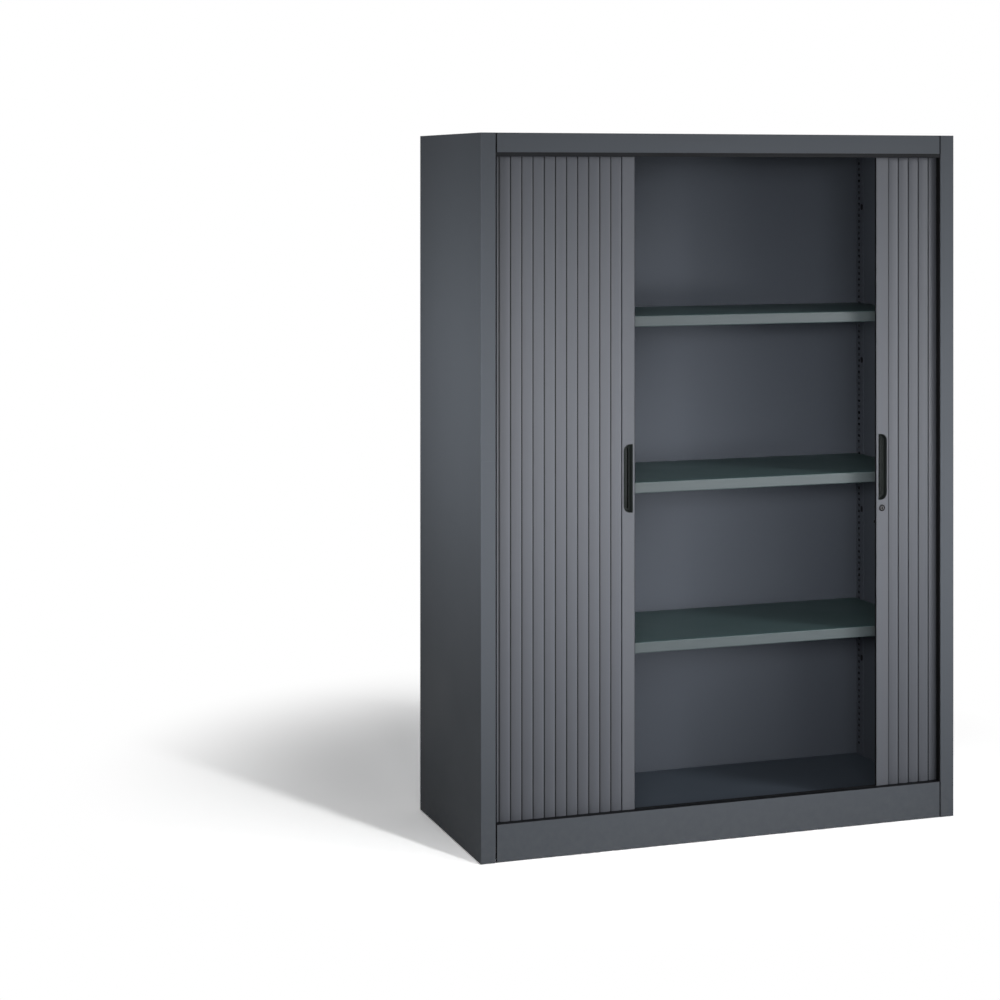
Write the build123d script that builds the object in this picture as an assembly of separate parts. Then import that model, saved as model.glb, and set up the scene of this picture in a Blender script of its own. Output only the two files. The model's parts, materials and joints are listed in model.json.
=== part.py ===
"""Steel storage cabinet with two sideways roller shutters, three shelves and a lock.

Millimetres, +Z up, the front faces -Y and +X is to the right seen from the front.
The origin is at the middle of the footprint, at the level of the feet's undersides.
The right half is modelled and the left half is its mirror image.
"""
from build123d import *
from math import atan2, cos, degrees, hypot, pi, sin, sqrt
import os

# --- Carcass -----------------------------------------------------------------
WIDTH = 1200.0
DEPTH = 470.0
HEIGHT = 1640.0
FLOOR_GAP = 2.0          # clear height under the sheet edges, given by the feet
SKIN = 1.2               # outer sheet
LINER = 1.0              # inner sheet
BEND = 2.0               # outside radius of the outer folds
STILE_WIDTH = 36.0
STILE_RETURN = 16.0
REAR_FLANGE = 18.0
TOP_FLANGE = 15.0
RAIL_HEIGHT = 44.0
PLINTH_TOP = 87.0
PLINTH_RETURN = 12.0
PAN_FLANGE = 20.0
CEILING_FLANGE = 12.0
SEAM = 2.8               # open joint between the stiles and the rail or plinth
FIT_GAP = 0.3            # assembly clearance between neighbouring pieces
SEAL_THICKNESS = 2.5

# --- Curtain and its guide ---------------------------------------------------
CURTAIN_SETBACK = 17.0   # front skin to the slats' front faces
SLAT_DEPTH = 8.0
SLAT_PITCH = 27.0
SLAT_COUNT = 22
SLAT_FACE = 25.2
SLAT_BACK = 22.8
SLAT_CROWN = 1.0
SLAT_WALL = 1.4
LEAD_WIDTH = 32.0
LEAD_WALL = 1.5
LEAD_NOSE = 2.0
LEAD_SEAL = 1.0          # rubber strip on the leading edge
CORNER_RADIUS = 40.0
SIDE_OFFSET = 10.0       # outer side or back face to the guide path
BACK_RUN = 112.0         # length of the guide along the back
TRACK_HEIGHT = 30.0
TRACK_REVEAL = 9.0       # track that shows under the top rail
TRACK_INSIDE = 8.0       # guide path to the track's inner edge
TRACK_WALL = 2.5
GROOVE_DEPTH = 10.0
TONGUE_THICKNESS = 4.0
TONGUE_WIDTH = 14.0
LEAD_TONGUE_WIDTH = 24.0
TONGUE_PLAY = 0.4
SLAT_END_GAP = 0.5
TRACK_OVERRUN = 30.0     # straight guide on each side of a corner
BUFFER_LENGTH = 8.0
CLOSED_GAP = 1.5         # leading edge to the middle when shut
LEFT_REST = 221.0        # leading edge to the middle as set
RIGHT_REST = 401.0
LEFT_FRONT_SLATS = 11    # slats that face the front as set
RIGHT_FRONT_SLATS = 4

# --- Grip and lock -----------------------------------------------------------
GRIP_BOTTOM = 769.0
GRIP_HEIGHT = 158.0
GRIP_WIDTH = 23.0
GRIP_EDGE = 5.0          # leading edge to the grip
GRIP_DEPTH = 14.0
GRIP_WALL = 1.5
GRIP_LIP = 1.5
GRIP_ROUND = 16.5
GRIP_CORNER = 1.6
GRIP_RECESS = 0.2
LOCK_DROP = 19.0         # grip's lower end to the lock's axis
LOCK_EDGE = 14.5         # leading edge to the lock's axis
ROSETTE_RADIUS = 8.0
ROSETTE_THICKNESS = 1.2
BARREL_RADIUS = 6.5
BARREL_LENGTH = 20.0
PLUG_RADIUS = 5.0
PLUG_PLAY = 0.06
KEYWAY_WIDTH = 2.4
KEYWAY_HEIGHT = 7.0
KEYWAY_DEPTH = 9.0
NUT_SIZE = 17.0
NUT_THICKNESS = 3.0
CAM_THICKNESS = 2.0
CAM_HUB = 8.0
CAM_RADIUS = 39.0
CAM_HALF_ANGLE = 16.0
CAM_SCREW_RADIUS = 4.0
CAM_SCREW_HEIGHT = 2.2
STRIKE_EDGE = 12.0       # left leading edge to the strike pin
STRIKE_PIN_RADIUS = 2.5
STRIKE_PIN_PLAY = 0.8
STRIKE_PLATE = 1.5
STRIKE_PLATE_WIDTH = 16.0
STRIKE_PLATE_HEIGHT = 40.0
STRIKE_PIN_END = 3.0     # pin beyond the cam

# --- Interior ----------------------------------------------------------------
POCKET_WIDTH = 39.0      # side face to the liner's inner face
BACK_POCKET = 50.0
LINER_FRONT = 62.0
LINER_FLANGE = 14.0
UPRIGHT_WIDTH = 37.5
UPRIGHT_THICKNESS = 1.5
SLOT_WIDTH = 10.0
SLOT_HEIGHT = 7.0
SLOT_FROM_EDGE = 13.2    # slot centres to the upright's rear or front edge
SLOT_PITCH = 14.9
FIRST_SLOT = 28.3        # floor to the first slot's centre
LAST_SLOT_MARGIN = 30.0
WINDOW_WIDTH = 14.0      # opening in the liner behind the slots
WINDOW_MARGIN = 14.0
SHELF_SLOTS = (23, 48, 74)
SHELF_THICKNESS = 25.0
SHELF_SHEET = 1.0
SHELF_RETURN = 14.0
SHELF_SETBACK = 74.0     # front skin to the shelf's front edge
SHELF_BEND = 2.0
CLIP_PLATE = 1.5
CLIP_WIDTH = 14.0
CLIP_HEIGHT = 22.0
CLIP_LEDGE = 12.0
CLIP_RISE = 4.0          # slot centre to the ledge's top
CLIP_TAIL = 4.2
CLIP_HOOK_DROP = 5.0
PLUG_CAP_WIDTH = 10.0
PLUG_CAP_HEIGHT = 15.0
PLUG_CAP_PROUD = 1.0
PLUG_CAP_EDGE = 8.0      # cap centre to the upright's inner-most edge
PLUG_STEM = 5.0
PLUG_LEVEL = 2.0 / 3.0   # share of each compartment's height

# --- Feet and screws ---------------------------------------------------------
FOOT_INSET_X = 55.0
FOOT_INSET_Y = 50.0
FOOT_RADIUS = 20.0
FOOT_THICKNESS = 8.0
STUD_RADIUS = 5.0
STUD_LENGTH = 40.0
STUD_PLAY = 0.08
BUSH_RADIUS = 9.0
BUSH_LENGTH = 16.0
BEAM_WIDTH = 44.0
BEAM_SHEET = 2.0
BEAM_HOLE_RADIUS = 6.5
SCREW_HEAD_RADIUS = 4.0
SCREW_HOLE_PLAY = 0.4
SCREW_ROWS = 6
SCREW_MARGIN = 60.0

# --- Planes worked out from the sizes ----------------------------------------
SIDE = WIDTH / 2
FRONT = -DEPTH / 2
BACK = DEPTH / 2
FLOOR_TOP = PLINTH_TOP - TRACK_HEIGHT
RAIL_BOTTOM = HEIGHT - RAIL_HEIGHT
UPPER_TRACK_BOTTOM = RAIL_BOTTOM - TRACK_REVEAL
CEILING = UPPER_TRACK_BOTTOM + TRACK_HEIGHT
PATH_FRONT = FRONT + CURTAIN_SETBACK + SLAT_DEPTH / 2
PATH_SIDE = SIDE - SIDE_OFFSET
PATH_BACK = BACK - SIDE_OFFSET
FRONT_RUN = PATH_SIDE - CORNER_RADIUS
SIDE_RUN = PATH_BACK - PATH_FRONT - 2 * CORNER_RADIUS
CORNER_RUN = CORNER_RADIUS * pi / 2
CORNER_SAG = CORNER_RADIUS - sqrt(CORNER_RADIUS ** 2 - (SLAT_PITCH / 2) ** 2)
INNER_SIDE = SIDE - POCKET_WIDTH
INNER_BACK = BACK - BACK_POCKET
UPRIGHT_FACE = INNER_SIDE - UPRIGHT_THICKNESS
SLAT_BOTTOM = PLINTH_TOP + SLAT_END_GAP
SLAT_TOP = UPPER_TRACK_BOTTOM - SLAT_END_GAP
TONGUE_LENGTH = GROOVE_DEPTH + SLAT_END_GAP - FIT_GAP
SLAT_FRONT_Y = FRONT + CURTAIN_SETBACK
SLAT_REAR_Y = SLAT_FRONT_Y + SLAT_DEPTH
LOCK_HEIGHT = GRIP_BOTTOM - LOCK_DROP
CAM_FRONT_Y = SLAT_FRONT_Y + BARREL_LENGTH + FIT_GAP
SHELF_FRONT = FRONT + SHELF_SETBACK
SHELF_BACK = INNER_BACK - LINER
CLIP_FACE = UPRIGHT_FACE - CLIP_PLATE
SHELF_SIDE = CLIP_FACE - FIT_GAP
BEAM_BOTTOM = FOOT_THICKNESS + FIT_GAP
FOOT_X = SIDE - FOOT_INSET_X
FOOT_Y = BACK - FOOT_INSET_Y
SLOT_COUNT = int((CEILING - LAST_SLOT_MARGIN - FLOOR_TOP - FIRST_SLOT) / SLOT_PITCH) + 1


def slab(x0, x1, y0, y1, z0, z1):
    """Rectangular block between two corners."""
    return Pos((x0 + x1) / 2, (y0 + y1) / 2, (z0 + z1) / 2) * Box(x1 - x0, y1 - y0, z1 - z0)


def rounded(points, bends):
    """Closed outline through the points, with the radius given for some of its corners."""
    face = Polygon(*points, align=None)
    for (x, y), radius in bends.items():
        corner = min(face.vertices(), key=lambda v: hypot(v.X - x, v.Y - y))
        face = fillet(corner, radius)
    return face


def upright_prism(face, z0, z1):
    """Plan outline pulled up between two levels."""
    return Pos(0, 0, z0) * extrude(face, z1 - z0, dir=(0, 0, 1))


def side_view_prism(face, x0, x1):
    """Outline drawn in Y and Z, pulled along X."""
    return extrude(Plane.YZ.offset(x0) * face, x1 - x0, dir=(1, 0, 0))


def front_view_prism(face, y0, y1):
    """Outline drawn in X and Z, pulled towards the back."""
    return extrude(Plane.XZ.offset(-y0) * face, y1 - y0, dir=(0, 1, 0))


def rod_along_y(x, z, radius, y0, y1):
    """Round bar parallel to Y."""
    return Pos(x, (y0 + y1) / 2, z) * Rot(90, 0, 0) * Cylinder(radius, y1 - y0)


def left(shape):
    """Mirror image on the other side of the cabinet."""
    return mirror(shape, Plane.YZ)


def group(shapes):
    """Separate solids kept together in one node."""
    return Compound(children=[solid for shape in shapes for solid in shape.solids()])


def both_sides(shapes):
    """The right-hand pieces and their mirror images."""
    return group(list(shapes) + [left(shape) for shape in shapes])


# --- Outer sheets ------------------------------------------------------------
def side_panel():
    """Right side sheet, folded round to a stile in front and a flange behind."""
    inner_x = SIDE - SKIN
    edge = SIDE - STILE_WIDTH
    rear_edge = SIDE - REAR_FLANGE
    outline = rounded(
        [(SIDE, FRONT), (SIDE, BACK), (rear_edge, BACK), (rear_edge, BACK - SKIN),
         (inner_x, BACK - SKIN), (inner_x, FRONT + SKIN), (edge + SKIN, FRONT + SKIN),
         (edge + SKIN, FRONT + STILE_RETURN), (edge, FRONT + STILE_RETURN), (edge, FRONT)],
        {(SIDE, FRONT): BEND, (SIDE, BACK): BEND, (edge, FRONT): BEND,
         (inner_x, FRONT + SKIN): BEND - SKIN, (inner_x, BACK - SKIN): BEND - SKIN,
         (edge + SKIN, FRONT + SKIN): BEND - SKIN})
    panel = upright_prism(outline, FLOOR_GAP, HEIGHT)
    notch = (edge - SEAM, edge + SKIN + BEND, FRONT + SKIN, FRONT + STILE_RETURN + SKIN)
    panel -= slab(*notch, FLOOR_GAP - SKIN, PLINTH_TOP + FIT_GAP)
    panel -= slab(*notch, UPPER_TRACK_BOTTOM - FIT_GAP, HEIGHT + SKIN)
    panel += slab(SIDE - TOP_FLANGE, inner_x + SKIN / 2, FRONT + STILE_RETURN, BACK - REAR_FLANGE,
                  HEIGHT - 2 * SKIN, HEIGHT - SKIN)
    holes = [rod_along_y(x, z, SCREW_HEAD_RADIUS + SCREW_HOLE_PLAY, BACK - 2 * SKIN, BACK + SKIN)
             for x, z in screw_places()]
    return panel - holes


def top_cover():
    """Top sheet, folded down in front as the rail between the stiles."""
    rail_half = SIDE - STILE_WIDTH - SEAM
    plate_half = SIDE - SKIN - FIT_GAP
    rear = BACK - SKIN - FIT_GAP
    section = rounded(
        [(FRONT, RAIL_BOTTOM), (FRONT, HEIGHT), (rear, HEIGHT), (rear, HEIGHT - SKIN),
         (FRONT + SKIN, HEIGHT - SKIN), (FRONT + SKIN, RAIL_BOTTOM)],
        {(FRONT, HEIGHT): BEND, (FRONT + SKIN, HEIGHT - SKIN): BEND - SKIN})
    cover = side_view_prism(section, -rail_half, rail_half)
    behind_stile = FRONT + SKIN + FIT_GAP
    for sign in (-1, 1):
        near, far = sorted((sign * (rail_half - SKIN), sign * plate_half))
        cover += slab(near, far, behind_stile, rear, HEIGHT - SKIN, HEIGHT)
    return cover


def plinth():
    """Front sheet under the shutters, folded back along the floor."""
    half = SIDE - STILE_WIDTH - SEAM
    section = rounded(
        [(FRONT, FLOOR_GAP), (FRONT, PLINTH_TOP), (FRONT + SKIN, PLINTH_TOP),
         (FRONT + SKIN, FLOOR_GAP + SKIN), (FRONT + PLINTH_RETURN, FLOOR_GAP + SKIN),
         (FRONT + PLINTH_RETURN, FLOOR_GAP)],
        {(FRONT, FLOOR_GAP): BEND, (FRONT + SKIN, FLOOR_GAP + SKIN): BEND - SKIN})
    return side_view_prism(section, -half, half)


def outer_back():
    """Back sheet inside the rear flanges, with a flange under the top cover."""
    half = SIDE - BEND
    front_face = BACK - 2 * SKIN
    top = HEIGHT - SKIN
    sheet = slab(-half, half, front_face, BACK - SKIN, FLOOR_GAP + SKIN, top)
    flange = slab(-half + TOP_FLANGE, half - TOP_FLANGE, front_face - TOP_FLANGE,
                  front_face + SKIN / 2, top - SKIN, top)
    return sheet + flange


def tray(level, flange, thickness):
    """Sheet across the whole carcass, its edges folded up (flange > 0) or down."""
    half = SIDE - SKIN - FIT_GAP
    front = FRONT + SKIN + FIT_GAP
    rear = BACK - 2 * SKIN - FIT_GAP
    low, high = sorted((level, level + flange))
    body = slab(-half, half, front, rear, low, high)
    inside_low, inside_high = (low + thickness, high + 1) if flange > 0 else (low - 1, high - thickness)
    return body - slab(-half + thickness, half - thickness, front + thickness, rear - thickness,
                       inside_low, inside_high)


def edge_seal():
    """Black strip on the stile's return, facing the shutter."""
    edge = SIDE - STILE_WIDTH
    return slab(edge - SEAL_THICKNESS, edge, FRONT + BEND, FRONT + STILE_RETURN,
                PLINTH_TOP + FIT_GAP, UPPER_TRACK_BOTTOM - FIT_GAP)


# --- Liner and uprights --------------------------------------------------------
def slot_columns():
    """Y of the front and rear columns of slots, with the sign that points to the middle."""
    return ((LINER_FRONT + FRONT + LINER_FLANGE + SLOT_FROM_EDGE, 1),
            (INNER_BACK - SLOT_FROM_EDGE, -1))


def side_liner():
    """Right inner wall, flanged outwards in front, with a window behind each slot column."""
    front = FRONT + LINER_FRONT
    wall = slab(INNER_SIDE, INNER_SIDE + LINER, front, INNER_BACK, FLOOR_TOP, CEILING)
    wall += slab(INNER_SIDE, INNER_SIDE + LINER_FLANGE, front, front + LINER, FLOOR_TOP, CEILING)
    for y, _ in slot_columns():
        wall -= slab(INNER_SIDE - 1, INNER_SIDE + LINER + 1, y - WINDOW_WIDTH / 2, y + WINDOW_WIDTH / 2,
                     FLOOR_TOP + WINDOW_MARGIN, CEILING - WINDOW_MARGIN)
    for y, level in plug_places():
        wall -= slab(INNER_SIDE - 1, INNER_SIDE + LINER + 1, y - PLUG_STEM / 2 - FIT_GAP,
                     y + PLUG_STEM / 2 + FIT_GAP, level - PLUG_STEM, level + PLUG_STEM)
    return wall


def back_liner():
    """Inner back wall between the side walls."""
    half = INNER_SIDE + LINER
    return slab(-half, half, INNER_BACK, INNER_BACK + LINER, FLOOR_TOP, CEILING)


def slot_level(index):
    """Centre height of one slot."""
    return FLOOR_TOP + FIRST_SLOT + index * SLOT_PITCH


def shelf_top(index):
    """Top face of the shelf whose clips hang in the given slot."""
    return slot_level(index) + CLIP_RISE + SHELF_THICKNESS


def plug_places():
    """Y and height of the black plugs on the uprights."""
    floors = [FLOOR_TOP] + [shelf_top(index) for index in SHELF_SLOTS]
    roofs = [shelf_top(index) - SHELF_THICKNESS for index in SHELF_SLOTS] + [UPPER_TRACK_BOTTOM]
    levels = [low + PLUG_LEVEL * (high - low) for low, high in zip(floors, roofs)]
    offset = UPRIGHT_WIDTH - SLOT_FROM_EDGE - PLUG_CAP_EDGE
    return [(y + sign * offset, level) for y, sign in slot_columns() for level in levels]


def upright(column):
    """Slotted strip on the right inner wall, at one slot column."""
    y, sign = column
    edge = y - sign * SLOT_FROM_EDGE
    low, high = sorted((edge, edge + sign * UPRIGHT_WIDTH))
    strip = slab(UPRIGHT_FACE, INNER_SIDE, low, high, FLOOR_TOP + FIT_GAP, CEILING - FIT_GAP)
    slots = [slab(UPRIGHT_FACE - 1, INNER_SIDE + 1, y - SLOT_WIDTH / 2, y + SLOT_WIDTH / 2,
                  slot_level(i) - SLOT_HEIGHT / 2, slot_level(i) + SLOT_HEIGHT / 2)
             for i in range(SLOT_COUNT)]
    stems = [slab(UPRIGHT_FACE - 1, INNER_SIDE + 1, py - PLUG_STEM / 2 - FIT_GAP,
                  py + PLUG_STEM / 2 + FIT_GAP, level - PLUG_STEM, level + PLUG_STEM)
             for py, level in plug_places() if low < py < high]
    return strip - slots - stems


def wall_plug(y, level):
    """Oblong black cap with a stem through the upright and the liner."""
    cap = rounded([(y - PLUG_CAP_WIDTH / 2, level - PLUG_CAP_HEIGHT / 2),
                   (y + PLUG_CAP_WIDTH / 2, level - PLUG_CAP_HEIGHT / 2),
                   (y + PLUG_CAP_WIDTH / 2, level + PLUG_CAP_HEIGHT / 2),
                   (y - PLUG_CAP_WIDTH / 2, level + PLUG_CAP_HEIGHT / 2)], {})
    cap = fillet(cap.vertices(), PLUG_CAP_WIDTH / 2 - 0.1)
    head = side_view_prism(cap, UPRIGHT_FACE - PLUG_CAP_PROUD, UPRIGHT_FACE)
    stem = slab(UPRIGHT_FACE - PLUG_CAP_PROUD / 2, INNER_SIDE + 2 * LINER, y - PLUG_STEM / 2,
                y + PLUG_STEM / 2, level - PLUG_STEM + FIT_GAP, level + PLUG_STEM - FIT_GAP)
    return head + stem


def shelf(index):
    """Folded shelf: flat top, lips all round and a return along the bottom."""
    top = shelf_top(index)
    bottom = top - SHELF_THICKNESS
    body = slab(-SHELF_SIDE, SHELF_SIDE, SHELF_FRONT, SHELF_BACK, bottom, top)
    body = fillet(body.edges().filter_by(Axis.X).group_by(Axis.Y)[0], SHELF_BEND)
    t = SHELF_SHEET
    body -= slab(-SHELF_SIDE + t, SHELF_SIDE - t, SHELF_FRONT + t, SHELF_BACK - t, bottom + t, top - t)
    r = SHELF_RETURN
    body -= slab(-SHELF_SIDE + r, SHELF_SIDE - r, SHELF_FRONT + r, SHELF_BACK - r, bottom - t, bottom + 2 * t)
    return body


def shelf_clip(y, index):
    """Clip whose tail hooks behind the upright and whose ledge carries the shelf."""
    level = slot_level(index)
    ledge_top = level + CLIP_RISE
    half = CLIP_WIDTH / 2
    tail = CLIP_TAIL / 2
    clip = slab(CLIP_FACE, UPRIGHT_FACE, y - half, y + half, ledge_top - CLIP_HEIGHT, ledge_top)
    clip += slab(CLIP_FACE - CLIP_LEDGE, CLIP_FACE + CLIP_PLATE / 2, y - half, y + half,
                 ledge_top - CLIP_PLATE, ledge_top)
    hook_end = INNER_SIDE + FIT_GAP + CLIP_PLATE
    clip += slab(UPRIGHT_FACE - CLIP_PLATE / 2, hook_end, y - tail, y + tail, level - tail, level + tail)
    clip += slab(INNER_SIDE + FIT_GAP, hook_end, y - tail, y + tail, level - CLIP_HOOK_DROP, level)
    return clip


# --- Guide path, tracks and slats ----------------------------------------------
def path_point(s):
    """Point and heading of the right guide path, s outwards from the middle of the front."""
    if s <= FRONT_RUN:
        return s, PATH_FRONT, 0.0
    s -= FRONT_RUN
    if s <= CORNER_RUN:
        turn = s / CORNER_RADIUS
        return (FRONT_RUN + CORNER_RADIUS * sin(turn),
                PATH_FRONT + CORNER_RADIUS * (1 - cos(turn)), turn)
    s -= CORNER_RUN
    if s <= SIDE_RUN:
        return PATH_SIDE, PATH_FRONT + CORNER_RADIUS + s, pi / 2
    s -= SIDE_RUN
    if s <= CORNER_RUN:
        turn = s / CORNER_RADIUS
        return (FRONT_RUN + CORNER_RADIUS * cos(turn),
                PATH_BACK - CORNER_RADIUS * (1 - sin(turn)), pi / 2 + turn)
    s -= CORNER_RUN
    return FRONT_RUN - s, PATH_BACK, pi


def band(outwards, inwards):
    """Ring in plan between two parallels of the guide path."""
    width = 2 * PATH_SIDE
    depth = PATH_BACK - PATH_FRONT
    outer = RectangleRounded(width + 2 * outwards, depth + 2 * outwards, CORNER_RADIUS + outwards)
    inner = RectangleRounded(width - 2 * inwards, depth - 2 * inwards, CORNER_RADIUS - inwards)
    return Pos(0, (PATH_BACK + PATH_FRONT) / 2) * (outer - inner)


def track_band(inset):
    """Ring in plan between the carcass and the track's inner edge, less an inset."""
    half = SIDE - SKIN - FIT_GAP - inset
    front = FRONT + SKIN + FIT_GAP + inset
    rear = BACK - 2 * SKIN - FIT_GAP - inset
    outer = Pos(0, (front + rear) / 2) * Rectangle(2 * half, rear - front)
    inward = TRACK_INSIDE - inset
    inner = RectangleRounded(2 * (PATH_SIDE - inward), PATH_BACK - PATH_FRONT - 2 * inward,
                             CORNER_RADIUS - inward)
    return outer - Pos(0, (PATH_BACK + PATH_FRONT) / 2) * inner


def track_windows():
    """Plan rectangle of each right-hand track piece: name, x0, x1, y0, y1, in a corner."""
    bend_x = FRONT_RUN - TRACK_OVERRUN
    bend_front = PATH_FRONT + CORNER_RADIUS + TRACK_OVERRUN
    bend_back = PATH_BACK - CORNER_RADIUS - TRACK_OVERRUN
    end_x = FRONT_RUN - BACK_RUN
    gap = FIT_GAP / 2
    return (("front", gap, bend_x - gap, FRONT, bend_front, False),
            ("front_corner", bend_x + gap, SIDE, FRONT, bend_front - gap, True),
            ("side", bend_x + gap, SIDE, bend_front + gap, bend_back - gap, False),
            ("rear_corner", bend_x + gap, SIDE, bend_back + gap, BACK, True),
            ("rear", end_x, bend_x - gap, bend_back, BACK, False))


def plan_window(x0, x1, y0, y1):
    """Rectangle in plan between two corners."""
    return Pos((x0 + x1) / 2, (y0 + y1) / 2) * Rectangle(x1 - x0, y1 - y0)


def track_piece(window, upper):
    """One length of track: a plastic shell with the slats' groove in its deck."""
    _, x0, x1, y0, y1, corner = window
    play = TONGUE_THICKNESS / 2 + TONGUE_PLAY
    inwards = play + CORNER_SAG + TONGUE_PLAY if corner else play
    place = plan_window(x0, x1, y0, y1)
    inset = plan_window(x0 + TRACK_WALL, x1 - TRACK_WALL, y0 + TRACK_WALL, y1 - TRACK_WALL)
    deck = TRACK_HEIGHT - GROOVE_DEPTH - TRACK_WALL
    piece = extrude(track_band(0) & place, TRACK_HEIGHT)
    piece -= Pos(0, 0, TRACK_HEIGHT - GROOVE_DEPTH) * extrude(band(play, inwards) & place, TRACK_HEIGHT)
    piece -= Pos(0, 0, -1) * extrude(track_band(TRACK_WALL) & inset, deck + 1)
    if upper:
        return Pos(0, 0, CEILING) * mirror(piece, Plane.XY)
    return Pos(0, 0, FLOOR_TOP) * piece


def tracks(upper):
    """Track nodes of one level, each with its right and left pieces."""
    level = "upper" if upper else "lower"
    pieces = {window[0]: track_piece(window, upper) for window in track_windows()}
    return {level + "_front_tracks": both_sides([pieces["front"]]),
            level + "_corner_tracks": both_sides([pieces["front_corner"], pieces["rear_corner"]]),
            level + "_side_tracks": both_sides([pieces["side"]]),
            level + "_rear_tracks": both_sides([pieces["rear"]])}


def track_buffer(upper):
    """Rubber stop at the closed end of the rear groove."""
    end_x = FRONT_RUN - BACK_RUN
    half = TONGUE_THICKNESS / 2
    base = CEILING - TRACK_HEIGHT if upper else FLOOR_TOP + TRACK_HEIGHT - GROOVE_DEPTH
    return slab(end_x, end_x + BUFFER_LENGTH, PATH_BACK - half, PATH_BACK + half, base, base + GROOVE_DEPTH)


def slat_outline():
    """Section of one slat: a crowned face on two legs, open at the back."""
    face = SLAT_FACE / 2
    back = SLAT_BACK / 2
    outer = SLAT_DEPTH / 2
    edge = outer - SLAT_CROWN
    crown = ThreePointArc((-face, -edge), (0, -outer), (face, -edge))
    legs = Polyline((face, -edge), (back, outer), (-back, outer), (-face, -edge))
    return make_face(crown + legs)


def curtain_slat():
    """One slat at the middle of the front, with solid ends and a tongue at each end."""
    outline = slat_outline()
    hollow = SLAT_BACK - 2 * SLAT_WALL
    end = GROOVE_DEPTH
    slat = upright_prism(outline, SLAT_BOTTOM, SLAT_TOP)
    slat -= slab(-hollow / 2, hollow / 2, -SLAT_DEPTH / 2 + SLAT_CROWN + SLAT_WALL, SLAT_DEPTH,
                 SLAT_BOTTOM + end, SLAT_TOP - end)
    half = TONGUE_WIDTH / 2
    thick = TONGUE_THICKNESS / 2
    slat += slab(-half, half, -thick, thick, SLAT_BOTTOM - TONGUE_LENGTH, SLAT_BOTTOM + end / 2)
    slat += slab(-half, half, -thick, thick, SLAT_TOP - end / 2, SLAT_TOP + TONGUE_LENGTH)
    return slat


def slat_place(s):
    """Place of the slat whose joints lie on the path at s and one pitch further."""
    x0, y0, _ = path_point(s)
    x1, y1, _ = path_point(s + SLAT_PITCH)
    return Location((x0 / 2 + x1 / 2, y0 / 2 + y1 / 2, 0), (0, 0, degrees(atan2(y1 - y0, x1 - x0))))


def curtain(slat, rest, first, last):
    """Right-hand slats first to last, behind a leading slat whose edge is at rest."""
    start = rest + LEAD_WIDTH
    return [slat_place(start + i * SLAT_PITCH) * slat for i in range(first, last)]


# --- Leading slats, grips and lock ----------------------------------------------
def grip_outline(edge, shrink):
    """Recess opening: square towards the leading edge, round on the far side."""
    x0 = edge + GRIP_EDGE + shrink
    x1 = edge + GRIP_EDGE + GRIP_WIDTH - shrink
    z0 = GRIP_BOTTOM + shrink
    z1 = GRIP_BOTTOM + GRIP_HEIGHT - shrink
    far = GRIP_ROUND - shrink
    near = GRIP_CORNER
    return rounded([(x0, z0), (x1, z0), (x1, z1), (x0, z1)],
                   {(x0, z0): near, (x0, z1): near, (x1, z0): far, (x1, z1): far})


def leading_slat(edge, locked):
    """Box-section leading slat with the grip's opening, and the lock's hole if locked."""
    x1 = edge + LEAD_WIDTH
    outline = rounded(
        [(edge, SLAT_FRONT_Y), (x1 - SLAT_CROWN, SLAT_FRONT_Y), (x1 - SLAT_CROWN, SLAT_REAR_Y),
         (edge, SLAT_REAR_Y)],
        {(edge, SLAT_FRONT_Y): LEAD_NOSE, (edge, SLAT_REAR_Y): LEAD_WALL})
    slat = upright_prism(outline, SLAT_BOTTOM, SLAT_TOP)
    slat -= slab(edge + LEAD_WALL, x1 - SLAT_CROWN - LEAD_WALL, SLAT_FRONT_Y + LEAD_WALL,
                 SLAT_REAR_Y - LEAD_WALL, SLAT_BOTTOM + GROOVE_DEPTH, SLAT_TOP - GROOVE_DEPTH)
    slat -= front_view_prism(grip_outline(edge, 0), SLAT_FRONT_Y - 1, SLAT_REAR_Y + 1)
    if locked:
        slat -= rod_along_y(edge + LOCK_EDGE, LOCK_HEIGHT, BARREL_RADIUS + PLUG_PLAY,
                            SLAT_FRONT_Y - 1, SLAT_REAR_Y + 1)
    return slat


def lead_seal(edge):
    """Black rubber strip on the flat of the leading edge."""
    return slab(edge - LEAD_SEAL, edge, SLAT_FRONT_Y + LEAD_NOSE, SLAT_REAR_Y - LEAD_WALL,
                SLAT_BOTTOM, SLAT_TOP)


def lead_runners(edge):
    """Nylon shoes under and over the leading slat, running in the grooves."""
    middle = edge + LEAD_WIDTH / 2
    half = LEAD_TONGUE_WIDTH / 2
    thick = TONGUE_THICKNESS / 2
    return [slab(middle - half, middle + half, PATH_FRONT - thick, PATH_FRONT + thick,
                 SLAT_BOTTOM - TONGUE_LENGTH, SLAT_BOTTOM),
            slab(middle - half, middle + half, PATH_FRONT - thick, PATH_FRONT + thick,
                 SLAT_TOP, SLAT_TOP + TONGUE_LENGTH)]


def grip_shell(edge):
    """Black recessed pull, with a lip behind the slat."""
    front = SLAT_FRONT_Y + GRIP_RECESS
    rear = SLAT_FRONT_Y + GRIP_DEPTH
    shell = front_view_prism(grip_outline(edge, FIT_GAP / 2), front, rear)
    shell += front_view_prism(grip_outline(edge, -GRIP_LIP), SLAT_REAR_Y, SLAT_REAR_Y + GRIP_LIP)
    return shell - front_view_prism(grip_outline(edge, GRIP_WALL), front - 1, rear - GRIP_WALL)


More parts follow.
